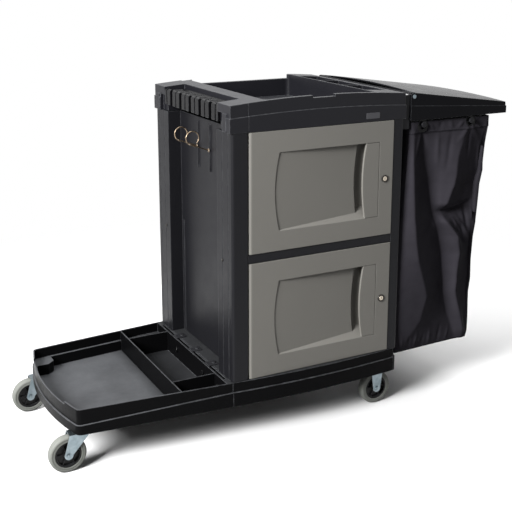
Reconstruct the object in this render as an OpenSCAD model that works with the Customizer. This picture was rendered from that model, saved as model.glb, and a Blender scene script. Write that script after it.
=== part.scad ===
// Janitor cart: a low front deck, a two-door cabinet under a tool tray, and a bag hung below a hinged lid.
// X runs from the deck to the bag, Y from the doors to the back, Z up from the floor.
// Modules draw with X = 0 on the seam between deck and cabinet, and placed() centres the whole on the origin.

/* [Base] */
// Height of the skirt's lower edge above the floor
skirt_z = 112; // [110:1:130]
// Height of the base moulding, skirt edge to rim
base_h = 72; // [64:1:90]
// Height of the proud lower tier at the cabinet
tier_h = 43; // [30:1:50]
// How far the lower tier stands proud of the upper one
tier_step = 4; // [2:0.5:6]
// Wall thickness of the base mouldings
base_wall = 4; // [3:0.5:6]
// Width of the base at its corners
base_w = 548; // [500:1:620]
// Outward bow of each long side of the cabinet base
side_bow = 14; // [6:1:24]
// Radius of the base's corners
base_corner_r = 14; // [6:1:20]

/* [Deck] */
// Length of the deck from the seam to its front corners
deck_l = 445; // [380:1:520]
// Width of the deck at its front corners
deck_front_w = 470; // [430:1:500]
// Forward bow of the deck's front
front_bow = 34; // [15:1:50]
// Radius of the deck's front corners
deck_corner_r = 20; // [12:1:30]
// Height of the deck's lower tier at the front corners
deck_tier_h = 27; // [20:1:40]
// Thickness of the deck's floor
deck_floor_t = 4; // [3:0.5:6]
// Width of the ledge part way up the inner wall
ledge_w = 6; // [3:1:10]
// Depth of the ledge below the rim
ledge_drop = 31; // [20:1:40]
// How much lower the front rim is between its corners
rim_drop = 8; // [4:1:14]
// Width of each raised corner of the front rim
rim_corner_w = 74; // [50:1:100]
// Distance of the compartment wall from the seam
divider_x = 150; // [110:1:200]
// Distance of the cross walls from the centre line
cross_wall_y = 181; // [120:1:200]
// Thickness of the compartment walls
divider_t = 3.5; // [2.5:0.5:6]
// Width of the hollow rear rim that takes the clips
rear_rim_w = 17; // [14:1:22]
// Height of the caster humps above the floor
hump_h = 34; // [30:1:45]
// Bevel on the inner corner of each caster hump
hump_bevel = 20; // [8:1:22]

/* [Cabinet] */
// Length of the cabinet from the seam to the bag end
cabinet_l = 564; // [520:1:640]
// Width of the cabinet over its panels
cabinet_w = 542; // [500:1:600]
// Height of the tray's underside above the floor
tray_z = 902; // [820:1:960]
// Width of the front stile beside the hinges
hinge_stile_w = 49; // [42:1:60]
// Width of the front stile beside the locks
lock_stile_w = 35; // [30:1:45]
// Wall thickness of the panels
panel_t = 5; // [4:0.5:7]
// Width of each corner post on the deck end
post_w = 95; // [75:1:105]
// Depth of the recess in which tool handles stand
recess_d = 42; // [34:1:46]
// Height of the shelf's front lip
shelf_lip_h = 25; // [24:1:34]

/* [Doors] */
// Gap round each door
door_gap = 1.5; // [1:0.1:2.5]
// Thickness of each door at its edges
door_t = 20; // [18:1:24]
// How far the doors stand proud of the stiles
door_proud = 1.5; // [1:0.1:3]
// Thickness of the door's skin
door_skin = 3.5; // [2.5:0.5:5]
// Distance of the pull recess from the hinge edge
pull_u = 96; // [60:1:140]
// Width of the strip beside the grip that holds the lock
lock_strip = 48; // [44:1:60]
// Height of the pull recess
pull_h = 225; // [150:1:260]
// Sideways bow of the recess at its hinge side
pull_bow = 14; // [4:1:24]
// Sideways bow of the grip's edge
grip_bow = 11; // [4:1:20]
// Width of the grip strip
grip_w = 46; // [38:1:54]
// Depth of the finger slot behind the grip
pull_d = 30; // [24:1:36]
// Depth of the slanting floor where it meets the finger slot
slope_d = 17; // [10:1:20]
// Width of the finger slot in front of the grip
finger_slot_w = 20; // [16:1:26]
// Thickness of the grip's lip
grip_t = 7; // [5:0.5:9]
// Distance of the lock from the free edge of the door
lock_u = 28; // [24:1:34]
// Diameter of the hinge pins
hinge_pin_d = 8; // [6:0.5:10]

/* [Tray] */
// Height of the tray's corners above its underside
tray_h = 75; // [65:1:90]
// Crown of the tray's long rims
rim_crown = 13; // [4:1:20]
// Height of the band's step line above the underside
band_step_h = 40; // [30:1:50]
// Setback of the band above the step line
band_step = 2.5; // [1.5:0.5:5]
// Overhang of the tray past the deck end of the cabinet
tray_over = 6; // [2:1:12]
// Depth of the tool bay at the deck end
bay_d = 70; // [60:1:80]
// Width of each corner block beside the tool bay
block_w = 82; // [70:1:92]
// Width of the flat ridge behind the tool bay
ridge_w = 44; // [30:1:60]
// Width of the row of small compartments
small_w = 76; // [60:1:100]
// Length of the row of small compartments
small_l = 400; // [300:1:420]
// Height of the tray floor above the underside
well_z = 12; // [8:1:20]
// Wall thickness of the tray
tray_wall = 4; // [3:0.5:6]

/* [Tools] */
// Diameter of the tool handles that the comb grips
handle_d = 26; // [20:1:30]
// Number of handle slots in the comb
slot_count = 5; // [3:1:5]
// Distance between handle slots
slot_pitch = 70; // [60:1:72]
// Height of the comb
comb_h = 42; // [30:1:50]
// Wire diameter of the hooks
hook_wire_d = 4; // [3:0.5:6]
// Radius of the hook's loop
hook_r = 20; // [12:1:26]
// Distance of each hook from the centre line
hook_y = 42; // [30:1:70]

/* [Bag] */
// Distance of the lid's pivot from the cabinet
pivot_dx = 38; // [34:1:50]
// Height of the lid's pivot above the tray's underside
pivot_dz = 62; // [55:1:66]
// Length of the lid from its pivot to its free end
lid_l = 353; // [300:1:420]
// How far each side of the lid stands outside the bag
lid_over = 8; // [6:1:14]
// Drop of the lid from its pivot to its free end
lid_drop = 49; // [30:1:56]
// Crown of the lid across its width
lid_crown = 9; // [4:1:10]
// Wall thickness of the lid
lid_wall = 4; // [3:0.5:5]
// Height of the lid's lower edge below the tray's underside
lid_edge_drop = 10; // [6:1:14]
// Height of the bag, hem to bottom
bag_h = 733; // [600:1:760]
// Width of the bag across the cart at its top
bag_w = 514; // [470:1:524]
// Length of the bag's bottom along the cart
bag_bottom_l = 286; // [240:1:300]
// Thickness of the bag's fabric as a solid
bag_t = 2.5; // [2:0.5:4]
// Diameter of the pegs that hold the bag
peg_d = 12; // [10:0.5:16]

/* [Wheels] */
// Diameter of all four wheels
wheel_d = 104; // [98:1:105]
// Width of the tyres
tyre_w = 26; // [22:1:32]
// Diameter of the hubs under the tyres
hub_d = 74; // [64:1:80]
// Diameter of the axle bolts
axle_d = 8; // [6:0.5:10]
// Trail of the front casters
trail = 45; // [38:1:48]
// Distance of the caster pivots from the deck's front corners
swivel_in = 22; // [20:1:30]
// Distance of the caster pivots from the centre line
swivel_y = 202; // [190:1:203]
// Diameter of the caster stems
stem_d = 11; // [9:0.5:12]
// Distance of the rear wheels from the cabinet's bag end
rear_in = 56; // [50:1:90]
// Distance of the rear wheels from the centre line
rear_y = 236; // [220:1:238]
// Thickness of the fork metal
fork_t = 3; // [2.5:0.5:4]

/* [Hidden] */
$fn = 48;
round_fn = 720;           // for the shallow bows, whose radii are metres long
fit = 0.05;               // running clearance of pins and shafts
play = 0.3;               // clearance between neighbouring mouldings
eps = 1;                  // how far a cut runs past the face it opens

seam_gap = 0.8;
half_w = cabinet_w / 2;
base_half = base_w / 2;
base_top = skirt_z + base_h;
base_floor_t = 4;
rib_t = 3;
rib_h = 14;
rib_y = 60;
field_d = 1;                          // shallow sunk fields of the cabinet floor and the shelf
field_r = 12;
field_x = [recess_d + panel_t + 15, cabinet_l - panel_t - 18];
field_y = [-half_w + 38, half_w - 26];
rear_x = cabinet_l - rear_in;

wheel_r = wheel_d / 2;
leg_y = tyre_w / 2 + 2;               // inner face of a fork leg from the wheel's middle plane
crown_z = wheel_d + 2.5;              // underside of the caster's crown
swivel_x = -deck_l + swivel_in;
bracket_z = skirt_z + fork_t;         // seat of the rear brackets

deck_floor_z = skirt_z + 3 + deck_floor_t;
ledge_z = base_top - ledge_drop;
deck_in = tier_step + base_wall;      // inner face of the deck's upper wall from the outline
hump_w = 58;
hump_l = 66;
wall_seat = 1;                        // groove in the deck's floor that holds the compartment wall
socket_r = stem_d / 2 + 5;

door_w = cabinet_l - hinge_stile_w - lock_stile_w - 2 * door_gap;
door_h = (tray_z - base_top - shelf_lip_h - 4 * door_gap) / 2;
door_x = hinge_stile_w + door_gap;
door_y = -half_w - door_proud;
lower_door_z = base_top + door_gap;
shelf_z = lower_door_z + door_h + door_gap;    // underside of the shelf's lip
shelf_top = shelf_z + shelf_lip_h;
upper_door_z = shelf_top + door_gap;
pull_w = door_w - pull_u - grip_w - lock_strip;
pull_v = (door_h - pull_h) / 2 - 2;            // lower edge of the recess
grip_u = pull_u + pull_w;
pull_ramp = 1;                                 // rise of the recess's lower wall for its depth
ramp_lift = 0.5;                               // step at the face from which that wall rises
pull_edge_d = 1.5;                             // depth of the slanting floor at its shallow end
pull_shell = 3;
strip_groove = 1.6;
hinge_r = door_t / 2;
hinge_x = door_x + hinge_r;
hinge_y = door_y + hinge_r;
pin_r = hinge_pin_d / 2;
pin_grip = 9;                                  // how far a pin reaches into the frame
pin_hold = 14;                                 // how far it sits in the door
lock_x = door_x + door_w - lock_u;
lock_flange_r = 11.5;
lock_barrel_r = 9.5;
plug_r = 6.5;
tail_r = 4;
cam_l = 42;
cam_w = 14;
cam_t = 2.5;
strike_d = 9;

rim_z = tray_z + tray_h;
tray_x0 = -tray_over;
tray_x1 = cabinet_l + tray_over;
tray_half = half_w + 1;
bay_x = tray_x0 + bay_d;
bay_half = tray_half - block_w;
well_x0 = bay_x + ridge_w;
rim_w = 21;
small_x1 = tray_x1 - rim_w;
small_x0 = small_x1 - small_w;
well_x1 = small_x0 - tray_wall / 2;
well_half = tray_half - 15;
well_floor = tray_z + well_z;
well_r = 14;
notch_in = 144;
notch_l = 73;
notch_d = 7;
far_rim_x = [84, small_x0];
far_rim_drop = 6;
under_top = 10;                                // thickness of the tray's top over its hollow underside
pocket_w = 34;                                 // pocket in the deck end of each corner block
pocket_d = 13;
pocket_cap = 24;
tab_w = 22;
tab_out = 1.5;
band_line_x = 50;                              // parting line across the band
band_line = 1;

comb_z = tray_z + 23;
slot_x = 20;
tine_gap = 8;
tine_clear = 12;
bead_r = 4;
lip_r = 6;
valley_r = 9;
valley_x = 52;
tine_x = slot_x + handle_d / 2 + 6;
hook_z = tray_z - 87;
hook_out = 56;
hook_up = 40;

pivot_x = cabinet_l + pivot_dx;
pivot_z = tray_z + pivot_dz;
pivot_r = 11;
bag_half = bag_w / 2;
lid_half = bag_half + lid_over;
lid_z = tray_z - lid_edge_drop;
lid_end_x = pivot_x + lid_l;
lid_angle = atan(lid_drop / lid_l);
lid_lip = 2;
lid_nose_r = 20;
rivet_r = 3;
ear_t = 5;
ear_play = 1.2;
ear_y = lid_half - lid_wall - play - ear_t;
beam_x0 = tray_x1 + 1;
beam_x1 = pivot_x - pivot_r - 2.5;
beam_half = lid_half - 3;
beam_mid_z = pivot_z - 14;
ear_w = 20;
rail_t = 14;
rail_h = 18;
rail_z = lid_z - 6 - rail_h;
rail_half = bag_half - bag_t - 2.5;
rail_x1 = lid_end_x - 55;
peg_z = rail_z + rail_h / 2;
peg_x = [beam_x1 + 54, rail_x1 - 77];
bag_top = rail_z + rail_h - 1;
bag_z = bag_top - bag_h;
bag_x0 = cabinet_l + 3;
bag_top_x0 = beam_x1 + 6;
bag_top_x1 = rail_x1 + 2.5 + bag_t;
eyelet_r = 16;
eyelet_hole_r = 11;
eyelet_flange = 3;
eyelet_flange_t = 1.5;
bag_flare = 2;                         // bulge of each side at the waist
bag_draw_in = 45;                      // how far the free end is drawn in at the waist
bag_bottom_in = 8;                     // how far each side is drawn in at the bottom
hem_cut = 30;
eyelet_z = peg_z - eyelet_hole_r + peg_d / 2 + fit;   // the eyelets hang on the pegs

bolt_r = 4;                            // deck bolts
bolt_y = [100, 205];
bolt_z = skirt_z + 38;
screw_r = 2.5;                         // panel and frame screws
screw_y = [60, 190];
frame_screw_z = rail_z + rail_h / 2;
pad_bolt_r = 3;                        // rear bracket bolts
pad_hole = [36, 21];
pad_holes = [[-pad_hole.x, -pad_hole.y], [pad_hole.x, -pad_hole.y], [-pad_hole.x, pad_hole.y], pad_hole];
pad_plate = [42, 28];                  // half length and width of a bracket's plate
pad_box = [46, 36];
pad_box_t = 4;
pad_nut_h = 5;
pad_head_h = 4;
pocket_r = 20;                         // room round the caster's head
race_r = 16;
race_t = 3;
race_top = crown_z + fork_t + race_t + play + 3;
stem_top = deck_floor_z + hump_h - 8;
channel_x0 = 5;                        // channel along the deck's rear rim, from the seam
channel_x1 = rear_rim_w - 5;
channel_d = 24;
channel_half = base_half - 40;
clip_y = [-120, 0, 120];
clip_w = 28;
clip_reach = 18;
post_r = 8;
post_grooves = [24, 60];
foot_groove_w = 8;
groove_w = 3;
groove_d = 1.5;
rail_ledge = 12;
lock_z = [lower_door_z + door_h / 2, upper_door_z + door_h / 2];
back_screws = [for (x = [hinge_stile_w - 9, cabinet_l - lock_stile_w + 9], z = [0.08, 0.36, 0.64, 0.92])
               [x, base_top + z * (tray_z - base_top)]];
ear_r = 6.5;
peg_l = bag_half - rail_half + 9;
lip_h = 45;
lip_end_h = 22;

// The cart's middle along X: half way between the trailing front wheels and the lid's free end
origin_x = (lid_end_x + lid_lip + swivel_x - trail - wheel_r) / 2;

plastic = [0.13, 0.13, 0.14];
door_grey = [0.47, 0.46, 0.43];
tyre_grey = [0.66, 0.65, 0.62];
zinc = [0.66, 0.70, 0.74];
nickel = [0.75, 0.74, 0.70];
cloth = [0.07, 0.07, 0.08];

// Radius of the arc that rises by sag over a chord
function bow_r(chord, sag) = (chord * chord / 4 + sag * sag) / (2 * sag);
// Points on an arc about a centre
function arc(c, r, a0, a1, n) =
    [for (i = [0:n]) let (a = a0 + (a1 - a0) * i / n) c + r * [cos(a), sin(a)]];
// A list of points mirrored across the cart's centre line, in reverse order
function mirrored(pts) = [for (i = [len(pts) - 1:-1:0]) [pts[i].x, -pts[i].y]];

module placed() { translate([-origin_x, 0, 0]) children(); }
module both_sides() { children(); mirror([0, 1, 0]) children(); }
module block(lo, hi) { translate(lo) cube(hi - lo); }
// A flat outline in X and Z, drawn out across the cart
module across(y0, y1) { translate([0, y1, 0]) rotate([90, 0, 0]) linear_extrude(y1 - y0) children(); }
// A flat outline in Y and Z, drawn out along the cart
module along(x0, x1) { translate([x0, 0, 0]) rotate([90, 0, 90]) linear_extrude(x1 - x0) children(); }
module rod(p, r, l, dir) {
    turn = dir == "x" ? [0, 90, 0] : dir == "y" ? [-90, 0, 0] : [0, 0, 0];
    translate(p) rotate(turn) cylinder(r = r, h = l);
}
// A rectangle with round corners
module round_rect(lo, hi, r) {
    translate([lo.x + r, lo.y]) square([hi.x - lo.x - 2 * r, hi.y - lo.y]);
    translate([lo.x, lo.y + r]) square([hi.x - lo.x, hi.y - lo.y - 2 * r]);
    for (x = [lo.x + r, hi.x - r], y = [lo.y + r, hi.y - r]) translate([x, y]) circle(r);
}
// The waste outside a round corner at the origin, which points to +X and +Y
module corner_waste(r) {
    difference() {
        translate([-r, -r]) square(r + eps);
        translate([-r, -r]) circle(r);
    }
}

// Cabinet base: a two-tier skirt with bowed sides, open below, ribbed under its floor
module base_plan(inset, x0, x1) {
    r = bow_r(cabinet_l, side_bow);
    off = r - base_half - side_bow;
    difference() {
        intersection() {
            translate([x0, -base_half - side_bow]) square([x1 - x0, base_w + 2 * side_bow]);
            translate([cabinet_l / 2, off]) circle(r - inset, $fn = round_fn);
            translate([cabinet_l / 2, -off]) circle(r - inset, $fn = round_fn);
        }
        both_sides() translate([x1, base_half - inset]) corner_waste(max(base_corner_r - inset, 2));
    }
}
module base_ribs() {
    for (y = [-rib_y, rib_y])
        block([0, y - rib_t / 2, base_top - rib_h],
              [cabinet_l, y + rib_t / 2, base_top - base_floor_t + eps]);
    for (x = [1, 2])
        block([x * cabinet_l / 3 - rib_t / 2, -base_half, base_top - rib_h],
              [x * cabinet_l / 3 + rib_t / 2, base_half, base_top - base_floor_t + eps]);
}
// Sunk field on which things stand
module field(z) {
    translate([0, 0, z - field_d]) linear_extrude(field_d + eps)
        round_rect([field_x[0], field_y[0]], [field_x[1], field_y[1]], field_r);
}
// Hollow box above each rear bracket
module wheel_pad() {
    difference() {
        block([rear_x - pad_box.x, rear_y - pad_box.y, bracket_z],
              [rear_x + pad_box.x, rear_y + pad_box.y, base_top - base_floor_t + eps]);
        block([rear_x - pad_box.x + pad_box_t, rear_y - pad_box.y + pad_box_t, bracket_z + pad_nut_h],
              [rear_x + pad_box.x - pad_box_t, rear_y + pad_plate.y, base_top - base_floor_t + 2 * eps]);
    }
}
module base_pan() color(plastic) difference() {
    union() {
        difference() {
            union() {
                translate([0, 0, skirt_z]) linear_extrude(tier_h) base_plan(0, 0, cabinet_l);
                translate([0, 0, skirt_z]) linear_extrude(base_h)
                    base_plan(tier_step, 0, cabinet_l - tier_step);
            }
            translate([0, 0, skirt_z - eps]) linear_extrude(base_h - base_floor_t + eps)
                base_plan(tier_step + base_wall, base_wall, cabinet_l - tier_step - base_wall);
        }
        intersection() {
            translate([0, 0, skirt_z]) linear_extrude(base_h)
                base_plan(tier_step + 1, 1, cabinet_l - tier_step - 1);
            union() {
                base_ribs();
                both_sides() wheel_pad();
                rod([hinge_x, hinge_y, base_top - pin_grip - 6], pin_r + 4, pin_grip + 5, "z");
            }
        }
    }
    rod([hinge_x, hinge_y, base_top - pin_grip - 1], pin_r + fit, pin_grip + 1 + eps, "z");
    for (y = bolt_y) both_sides() rod([-eps, y, bolt_z], bolt_r + play / 2, base_wall + 2 * eps, "x");
    both_sides() for (p = pad_holes)
        rod([rear_x + p.x, rear_y + p.y, bracket_z - eps], pad_bolt_r + play / 2, pad_nut_h + 2 * eps, "z");
    field(base_top);
}

// Front deck: a tapering tray with a bowed front, a ledge inside its wall and humps over the casters
deck_a = atan((base_half - deck_front_w / 2) / deck_l);
front_r = bow_r(deck_front_w, front_bow);
front_cx = front_r - deck_l - front_bow;
function deck_side_y(x, t) = base_half + x * tan(deck_a) - t / cos(deck_a);
// Centre of the front corner's round, where a line along the side meets the front's arc
function deck_corner(t, r) =
    let (m = tan(deck_a), q = base_half - (t + r) / cos(deck_a), reach = front_r - t - r,
         a = 1 + m * m, b = 2 * m * q - 2 * front_cx, c = front_cx * front_cx + q * q - reach * reach,
         x = (-b - sqrt(b * b - 4 * a * c)) / (2 * a)) [x, m * x + q];
function deck_outline(t, x0) =
    let (r = max(deck_corner_r - t, 3), c = deck_corner(t, r), turn = atan2(c.y, c.x - front_cx),
         side = concat([[x0, deck_side_y(x0, t)]], arc(c, r, 90 + deck_a, turn, 6)),
         front = arc([front_cx, 0], front_r - t, turn, 360 - turn, 24))
    concat(side, [for (i = [1:len(front) - 2]) front[i]], mirrored(side));
module deck_slab(t, x0, z0, z1) {
    translate([0, 0, z0]) linear_extrude(z1 - z0) polygon(deck_outline(t, x0));
}
module deck_tier() {
    intersection() {
        deck_slab(0, -seam_gap, skirt_z, skirt_z + max(tier_h, deck_tier_h));
        across(-base_w, base_w)
            polygon([[-2 * deck_l, skirt_z - eps], [0, skirt_z - eps], [0, skirt_z + tier_h],
                     [-deck_l, skirt_z + deck_tier_h], [-2 * deck_l, skirt_z + deck_tier_h]]);
    }
}
module caster_hump() {
    x1 = swivel_x + hump_l / 2;
    y0 = swivel_y - hump_w / 2;
    translate([0, 0, skirt_z]) linear_extrude(deck_floor_z + hump_h - skirt_z)
        polygon([[-2 * deck_l, y0], [x1 - hump_bevel, y0], [x1, y0 + hump_bevel], [x1, base_half],
                 [-2 * deck_l, base_half]]);
}
module caster_pocket() {
    difference() {
        rod([swivel_x, swivel_y, skirt_z - eps], pocket_r, deck_floor_z + hump_h - 5 - skirt_z + eps, "z");
        rod([swivel_x, swivel_y, race_top], socket_r, hump_h + base_h, "z");
    }
    rod([swivel_x, swivel_y, skirt_z], stem_d / 2 + fit, stem_top - skirt_z + play, "z");
}
wall_half = deck_side_y(-divider_x, deck_in + ledge_w) - play;
module front_deck() color(plastic) difference() {
    union() {
        deck_tier();
        deck_slab(tier_step, -seam_gap, skirt_z, base_top);
    }
    deck_slab(deck_in, -rear_rim_w, ledge_z, base_top + eps);
    difference() {
        deck_slab(deck_in + ledge_w, -rear_rim_w, deck_floor_z, base_top);
        both_sides() caster_hump();
    }
    deck_slab(deck_in, -rear_rim_w, skirt_z - eps, deck_floor_z - deck_floor_t);
    both_sides() caster_pocket();
    block([-divider_x - divider_t / 2 - play, -wall_half - play - eps, deck_floor_z - wall_seat],
          [-divider_x + divider_t / 2 + play, wall_half + play + eps, deck_floor_z + eps]);
    block([-channel_x1, -channel_half, base_top - channel_d], [-channel_x0, channel_half, base_top + eps]);
    block([-2 * deck_l, -deck_front_w / 2 + rim_corner_w, base_top - rim_drop],
          [-deck_l + front_bow, deck_front_w / 2 - rim_corner_w, base_top + eps]);
    for (y = bolt_y) both_sides()
        rod([-rear_rim_w - eps, y, bolt_z], bolt_r + play / 2, rear_rim_w + 2 * eps, "x");
}
// Walls that part the rear of the deck into three compartments
module compartment_walls() color(plastic) {
    top = base_top - 1;
    upper_half = deck_side_y(-divider_x, deck_in) - play;
    side = [[wall_half, deck_floor_z - wall_seat], [wall_half, ledge_z], [upper_half, ledge_z],
            [upper_half, top]];
    along(-divider_x - divider_t / 2, -divider_x + divider_t / 2)
        polygon(concat(side, [for (i = [3:-1:0]) [-side[i].x, side[i].y]]));
    both_sides() block([-divider_x, cross_wall_y - divider_t / 2, deck_floor_z],
                       [-rear_rim_w - play, cross_wall_y + divider_t / 2, top]);
}
// Clips hooked into the deck's rear rim and screwed to the cabinet base
module deck_clips() color(plastic) for (y = clip_y) translate([0, y, 0]) {
    block([-channel_x1 - 2, -clip_w / 2, base_top], [clip_reach, clip_w / 2, base_top + 3]);
    block([-channel_x1 + play, -clip_w / 2, base_top - channel_d + 5],
          [-channel_x1 + play + 4, clip_w / 2, base_top + 1]);
    rod([clip_reach / 2, 0, base_top + 1], 5, 4, "z");
}
// Bolts that draw the deck against the cabinet base, each with its nut
module deck_bolts() color(zinc) for (y = bolt_y) both_sides() translate([0, y, bolt_z]) {
    rod([-rear_rim_w - 4, 0, 0], bolt_r * 2, 4, "x");
    rod([-rear_rim_w - 1, 0, 0], bolt_r, rear_rim_w + base_wall + 10, "x");
    translate([base_wall, 0, 0]) rotate([0, 90, 0]) cylinder(r = bolt_r * 1.9, h = 6, $fn = 6);
}

// Holes of the screws that join the back panel to both end panels
module back_screw_holes() {
    for (p = back_screws)
        rod([p.x, half_w - 2 * panel_t - eps, p.y], screw_r + play / 2, 2 * (panel_t + eps), "y");
}
// End panel towards the deck: two corner posts with a deep recess between them for tool handles
module left_section() {
    both_sides() {
        difference() {
            union() {
                translate([0, -half_w]) square([hinge_stile_w - panel_t / 2, panel_t]);
                translate([hinge_stile_w - panel_t / 2, -half_w + panel_t / 2]) circle(panel_t / 2);
                translate([0, -half_w]) square([panel_t, post_w]);
                translate([0, -half_w + post_w - panel_t]) square([recess_d + panel_t, panel_t]);
            }
            rotate(180) translate([0, half_w]) corner_waste(post_r);
            for (g = post_grooves) translate([-eps, -half_w + g]) square([groove_d + eps, groove_w]);
        }
    }
    translate([recess_d, -half_w + post_w - panel_t]) square([panel_t, 2 * (half_w - post_w + panel_t)]);
}
module left_end_panel() color(plastic) difference() {
    union() {
        translate([0, 0, base_top]) linear_extrude(tray_z - base_top) left_section();
        for (y = [-hook_y, hook_y])
            block([recess_d - 4, y - 3.5, hook_z - 64], [recess_d + eps, y + 3.5, hook_z + 75]);
        block([recess_d + panel_t - eps, -half_w + post_w, shelf_top - 4 - rail_ledge],
              [recess_d + panel_t + rail_ledge, half_w - post_w, shelf_top - 4]);
    }
    both_sides()
        block([recess_d - eps, half_w - post_w - 18, base_top - eps],
              [recess_d + groove_d + 1, half_w - post_w - 18 + foot_groove_w, shelf_top]);
    for (y = [-hook_y, hook_y]) rod([recess_d - 5, y, hook_z], hook_wire_d / 2 + fit, panel_t + 6, "x");
    back_screw_holes();
}

// End panel towards the bag, with the lock stile on its front edge
module right_end_panel() color(plastic) difference() {
    x1 = cabinet_l;
    union() {
        translate([0, 0, base_top]) linear_extrude(tray_z - base_top) both_sides() difference() {
            union() {
                translate([x1 - lock_stile_w, -half_w]) square([lock_stile_w, panel_t]);
                translate([x1 - panel_t, -half_w]) square([panel_t, half_w + eps]);
            }
            translate([x1, -half_w]) mirror([0, 1]) corner_waste(post_r);
        }
        for (z = lock_z)
            block([x1 - lock_stile_w, -half_w + panel_t - eps, z - 22],
                  [x1 - lock_stile_w + 12, -half_w + panel_t + strike_d, z + 22]);
        block([x1 - panel_t - rail_ledge, -half_w + post_w, shelf_top - 4 - rail_ledge],
              [x1 - panel_t + eps, half_w - post_w, shelf_top - 4]);
        for (y = [-half_w / 3, half_w / 3])
            block([x1 - panel_t - 8, y - 2, base_top],
                  [x1 - panel_t + eps, y + 2, shelf_top - 4 - rail_ledge]);
    }
    for (y = screw_y) both_sides()
        rod([x1 - panel_t - eps, y, frame_screw_z], screw_r + play / 2, panel_t + 2 * eps, "x");
    back_screw_holes();
}
// Back panel inside the rear stiles, with two raised fields that match the doors
module back_panel() color(plastic) difference() {
    lap = 18;
    union() {
        block([hinge_stile_w - lap, half_w - 2 * panel_t, base_top],
              [cabinet_l - lock_stile_w + lap, half_w - panel_t, tray_z]);
        for (z = [lower_door_z, upper_door_z])
            block([hinge_stile_w + 20, half_w - panel_t - eps, z + 20],
                  [cabinet_l - lock_stile_w - 20, half_w - 1, z + door_h - 20]);
    }
    back_screw_holes();
}
module panel_screws() color(zinc) for (p = back_screws) {
    rod([p.x, half_w - 2 * panel_t - 4, p.y], screw_r, 2 * panel_t + 4, "y");
    rod([p.x, half_w, p.y], screw_r * 2, 2.5, "y");
}
// Shelf between the doors, whose lip carries a hinge pin of each door
module middle_shelf() color(plastic) difference() {
    lip = [hinge_stile_w + play, cabinet_l - lock_stile_w - play];
    back_y = half_w - 2 * panel_t - play;
    plate_y = hinge_y + hinge_r + 2;
    union() {
        block([recess_d + panel_t + play, -half_w + post_w + play, shelf_top - 4],
              [cabinet_l - panel_t - play, back_y, shelf_top]);
        block([lip.x, door_y + door_proud + 1, shelf_top - 4], [lip.y, back_y, shelf_top]);
        block([lip.x, door_y + door_proud + 1, shelf_z],
              [lip.y, door_y + door_proud + 1 + panel_t, shelf_top]);
        block([lip.x, door_y + door_proud + 1, shelf_z], [hinge_x + hinge_r, plate_y, shelf_top]);
        for (x = [1:3]) block([lip.x + x * (lip.y - lip.x) / 4 - 1.5, door_y + door_proud + 2, shelf_z + 4],
                              [lip.x + x * (lip.y - lip.x) / 4 + 1.5, back_y, shelf_top - 2]);
    }
    field(shelf_top);
    rod([hinge_x, hinge_y, shelf_top - pin_grip - 1], pin_r + fit, pin_grip + 1 + eps, "z");
    rod([hinge_x, hinge_y, shelf_z - eps], pin_r + fit, pin_grip + 1 + eps, "z");
}

// Top tray: a crowned band round a deep well, three small compartments and an open bay for tool handles
module crowned(x0, x1, z0, z1, crown) {
    r = bow_r(tray_x1 - tray_x0, crown);
    intersection() {
        translate([x0, z0]) square([x1 - x0, z1 + crown - z0]);
        translate([(tray_x0 + tray_x1) / 2, z1 + crown - r]) circle(r, $fn = round_fn);
    }
}
module tray_band() {
    across(-tray_half, tray_half) crowned(tray_x0, tray_x1, tray_z, tray_z + band_step_h, rim_crown - 3);
    across(-tray_half + band_step, tray_half - band_step)
        crowned(tray_x0 + band_step, tray_x1 - band_step, tray_z, rim_z, rim_crown);
}
module tray_well(grow) {
    translate([0, 0, well_floor - grow]) linear_extrude(tray_h + rim_crown)
        round_rect([well_x0 - grow, -well_half - grow], [well_x1 + grow, well_half + grow], well_r);
}
module small_compartments(grow) {
    pitch = (small_l + tray_wall) / 3;
    for (i = [-1:1]) translate([0, i * pitch, well_floor - grow]) linear_extrude(tray_h + rim_crown)
        round_rect([small_x0 + tray_wall / 2 - grow, -pitch / 2 + tray_wall / 2 - grow],
                   [small_x1 + grow, pitch / 2 - tray_wall / 2 + grow], 6);
}
module tool_bay(grow) {
    block([tray_x0 - eps, -bay_half - grow, tray_z - eps],
          [bay_x + grow, bay_half + grow, rim_z + rim_crown + eps]);
}
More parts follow.
